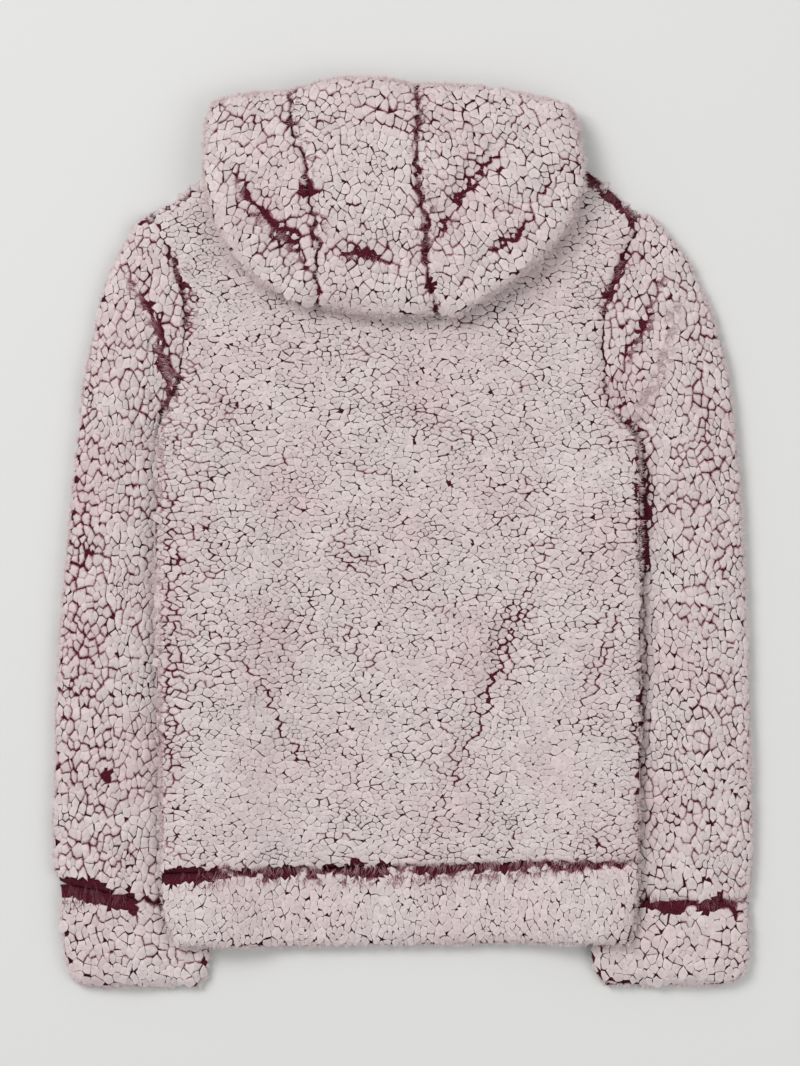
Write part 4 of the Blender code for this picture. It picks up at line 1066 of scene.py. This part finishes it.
def mouldedTeeth():
    # each tooth is rounded sections carried from its foot to its head: the half width grows from
    # neck to head in a soft step, and the section is |y/w| ** (1/0.6) + |z/h| ** (1/0.6) = 1
    s, around = zipSizes, zipSizes["around"]
    count = int((s["toothEnd"] - s["bottom"] - 2) / s["pitch"] * 2)
    y0 = s["bottom"] + 1.2 + np.arange(count) * s["pitch"] / 2
    sign = np.where(np.arange(count) % 2, 1.0, -1.0)[:, None]
    t, rounding = np.array(s["sections"]).T
    start, over = s["widens"]
    wide = (s["neck"] + (s["head"] - s["neck"]) * smooth((t - start) / over)) * rounding
    tall = s["thick"] * (1 - 0.12 * t) * rounding
    out = s["outer"] - (s["outer"] + s["reach"]) * t
    a = (np.arange(around) + 0.5) * 2 * np.pi / around
    c, d = power(np.cos(a), 0.6), power(np.sin(a), 0.6)
    ring = np.stack(np.broadcast_arrays(out[:, None], wide[:, None] * c, tall[:, None] * d), -1)
    ends = np.array([[s["outer"], 0, 0], [-s["reach"], 0, 0]])
    local = np.concatenate([ring.reshape(-1, 3), ends])
    points = np.stack(np.broadcast_arrays(
        s["middle"] + sign * local[:, 0], y0[:, None] + sign * local[:, 1], s["height"] + local[:, 2],
    ), -1)
    i, j = stepsRound(around)
    first, last = len(t) * around, (len(t) - 1) * around
    step = np.arange(len(t) - 1)[:, None] * around
    low, high = (step + i, step + j), (step + around + i, step + around + j)
    sides = np.stack([*low, high[1], low[0], high[1], high[0]], -1)
    template = np.concatenate([
        sides.reshape(-1, 3), np.stack([i * 0 + first, j, i], 1),
        np.stack([i * 0 + first + 1, last + i, last + j], 1),
    ])
    faces = repeatFaces(template[:, ::-1], count, len(local)).reshape(-1, 3)
    spot = np.stack([np.tile(a, len(t)) / (2 * np.pi) * 0.9, np.repeat(t, around) * 0.8 + 0.1], 1)
    spot = np.concatenate([spot, [[0.5, 0.02], [0.5, 0.98]]])
    uv = squareMap(spot, count).reshape(-1, 2)
    return makePiece("zip_teeth", points.reshape(-1, 3), faces, plastic, uv)


def wovenTape(name, sign):
    # a flat rounded section carried along the zip: its outer half moves by sin(1.7 y), with the
    # stitches that hold it, and its thickness swells by a slower sine, sin(0.9 y)
    s, rows, around = zipSizes, zipSizes["tapeRows"], zipSizes["tapeAround"]
    y = np.linspace(s["bottom"] + 0.1, s["tapeTop"], rows)
    a = (np.arange(around) + 0.5) * 2 * np.pi / around
    middle, half = (s["tapeInner"] + s["tapeOuter"]) / 2, (s["tapeOuter"] - s["tapeInner"]) / 2
    beside = middle + half * power(np.cos(a), 0.5)
    rise = s["tapeThick"] * power(np.sin(a), 0.6)
    wave = 0.05 * np.sin(y[:, None] * 1.7)
    points = np.stack(np.broadcast_arrays(
        s["middle"] + sign * (beside + wave * (beside > middle)), y[:, None],
        s["tapeHeight"] + rise * (1 + 0.04 * np.sin(y[:, None] * 0.9)),
    ), -1)
    i, j = stepsRound(around)
    step = (np.arange(rows - 1) * around)[:, None]
    quads = np.stack([step + i, step + j, step + around + j, step + around + i], -1).reshape(-1, 4)
    last, fan = (rows - 1) * around, i[1:-1]
    faces = np.concatenate([
        quads[:, [0, 1, 2]], quads[:, [0, 2, 3]], np.stack([fan * 0, fan + 1, fan], 1),
        np.stack([fan * 0 + last, fan + last, fan + 1 + last], 1),
    ])
    faces = faces[:, ::-1] if sign > 0 else faces
    length = ((y - y[0]) / (y[-1] - y[0]))[:, None]
    uv = np.stack(np.broadcast_arrays(i / around * 0.2, length), -1)
    return makePiece(name, points.reshape(-1, 3), faces, tapeCloth, uv.reshape(-1, 2))


def plasticMaterial():
    # dark moulded plastic with faint cloudiness
    n = Nodes("mouldedTeeth")
    cloudy = n.noise(400.0, 3.0)
    colour = n.mix(cloudy, (0.050, 0.012, 0.018), (0.095, 0.022, 0.034))
    rough = n.add("ShaderNodeMapRange", {}, cloudy, 0.0, 1.0, 0.32, 0.5)
    return n.finish(Base_Color=colour, Roughness=rough, Normal=n.bump(n.noise(1500.0), 0.0001, 0.3))


def tapeMaterial():
    # herringbone weave: two slanted waves that change over at each rib
    n = Nodes("wovenTape")
    x, y, _ = n.split(n.place(), "ShaderNodeSeparateXYZ")
    rib = (x * 6000.0).math("SINE")
    slant = (y * 9000.0 + x.math("PINGPONG", 0.0005) * 9000.0).math("SINE")
    thread = slant * 0.5 + rib * 0.25 + n.noise(1500.0) * 0.5
    colour = n.mix(thread.math("MAXIMUM", 0.0), (0.060, 0.010, 0.018), (0.135, 0.026, 0.045))
    return n.finish(Base_Color=colour, Roughness=0.9, Normal=n.bump(thread, 0.0003, 0.7), Sheen_Weight=0.2)


def metalMaterial():
    # dark plated metal, finely brushed along the zip, brighter where it is worn
    n = Nodes("platedMetal")
    stretched = n.add("ShaderNodeVectorMath", {"operation": "MULTIPLY"}, n.place(), (1.0, 0.08, 1.0))
    brushed = n.noise(9000.0, 3.0, stretched)
    worn = n.noise(260.0, 3.0)
    colour = n.mix(worn, (0.17, 0.15, 0.15), (0.30, 0.28, 0.275))
    rough = n.add("ShaderNodeMapRange", {}, brushed + worn * 0.5, 0.3, 1.0, 0.24, 0.42)
    return n.finish(Base_Color=colour, Metallic=1.0, Normal=n.bump(brushed, 0.00005, 0.4), Roughness=rough)


plastic, tapeCloth, metal = plasticMaterial(), tapeMaterial(), metalMaterial()
dress(mouldedTeeth(), "zip_chain")
for side, name in ((-1, "zip_tape_left"), (1, "zip_tape_right")):
    dress(wovenTape(name + "_weave", side), name)
for name in ("zip_slider", "zip_pull"):
    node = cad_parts[name]
    node.data.materials.clear()
    node.data.materials.append(metal)
print("zip made")

# ---------------------------------------------------------------- ground, light and camera

studio = {
    "tall": 884.8,  # what the picture shows at the jacket's level, in millimetres
    "lens": 135.0, "sensor": 36.0, "middle": (-2.3, -1.0), "level": 15.0,
    "lights": [  # name, place and size in metres, power in watts
        ("keyLight", (-2.3, 2.0, 3.6), 2.0, 108),
        ("fillLight", (2.6, -0.8, 3.4), 3.0, 37),
    ],
    "air": 0.445, "paper": (0.80, 0.80, 0.79, 1),
}

bpy.ops.mesh.primitive_plane_add(size=8.0, location=(0, 0, -0.0002))
ground = bpy.context.object
ground.name = "paleFloor"
paper = Nodes("paperFloor").finish(Base_Color=studio["paper"], Roughness=0.9, Specular_IOR_Level=0.1)
ground.data.materials.append(paper)

for name, location, size, watts in studio["lights"]:
    light = bpy.data.lights.new(name, "AREA")
    light.shape, light.size, light.size_y, light.energy = "RECTANGLE", size, size, watts
    lamp = bpy.data.objects.new(name, light)
    bpy.context.scene.collection.objects.link(lamp)
    lamp.location = location
    lamp.rotation_euler = (-Vector(location)).to_track_quat("-Z", "Y").to_euler()
world = bpy.data.worlds.new("studioAir")
world.use_nodes = True
air = world.node_tree.nodes["Background"].inputs
air[0].default_value, air[1].default_value = (1.0, 1.0, 1.0, 1), studio["air"]
bpy.context.scene.world = world

camera = bpy.data.cameras.new("camera")
camera.lens, camera.sensor_width = studio["lens"], studio["sensor"]
distance = studio["tall"] * studio["lens"] / studio["sensor"]
eye = bpy.data.objects.new("camera", camera)
bpy.context.scene.collection.objects.link(eye)
eye.location = (studio["middle"][0] * mm, studio["middle"][1] * mm, (distance + studio["level"]) * mm)
bpy.context.scene.camera = eye
bpy.context.scene.view_settings.view_transform = "Standard"
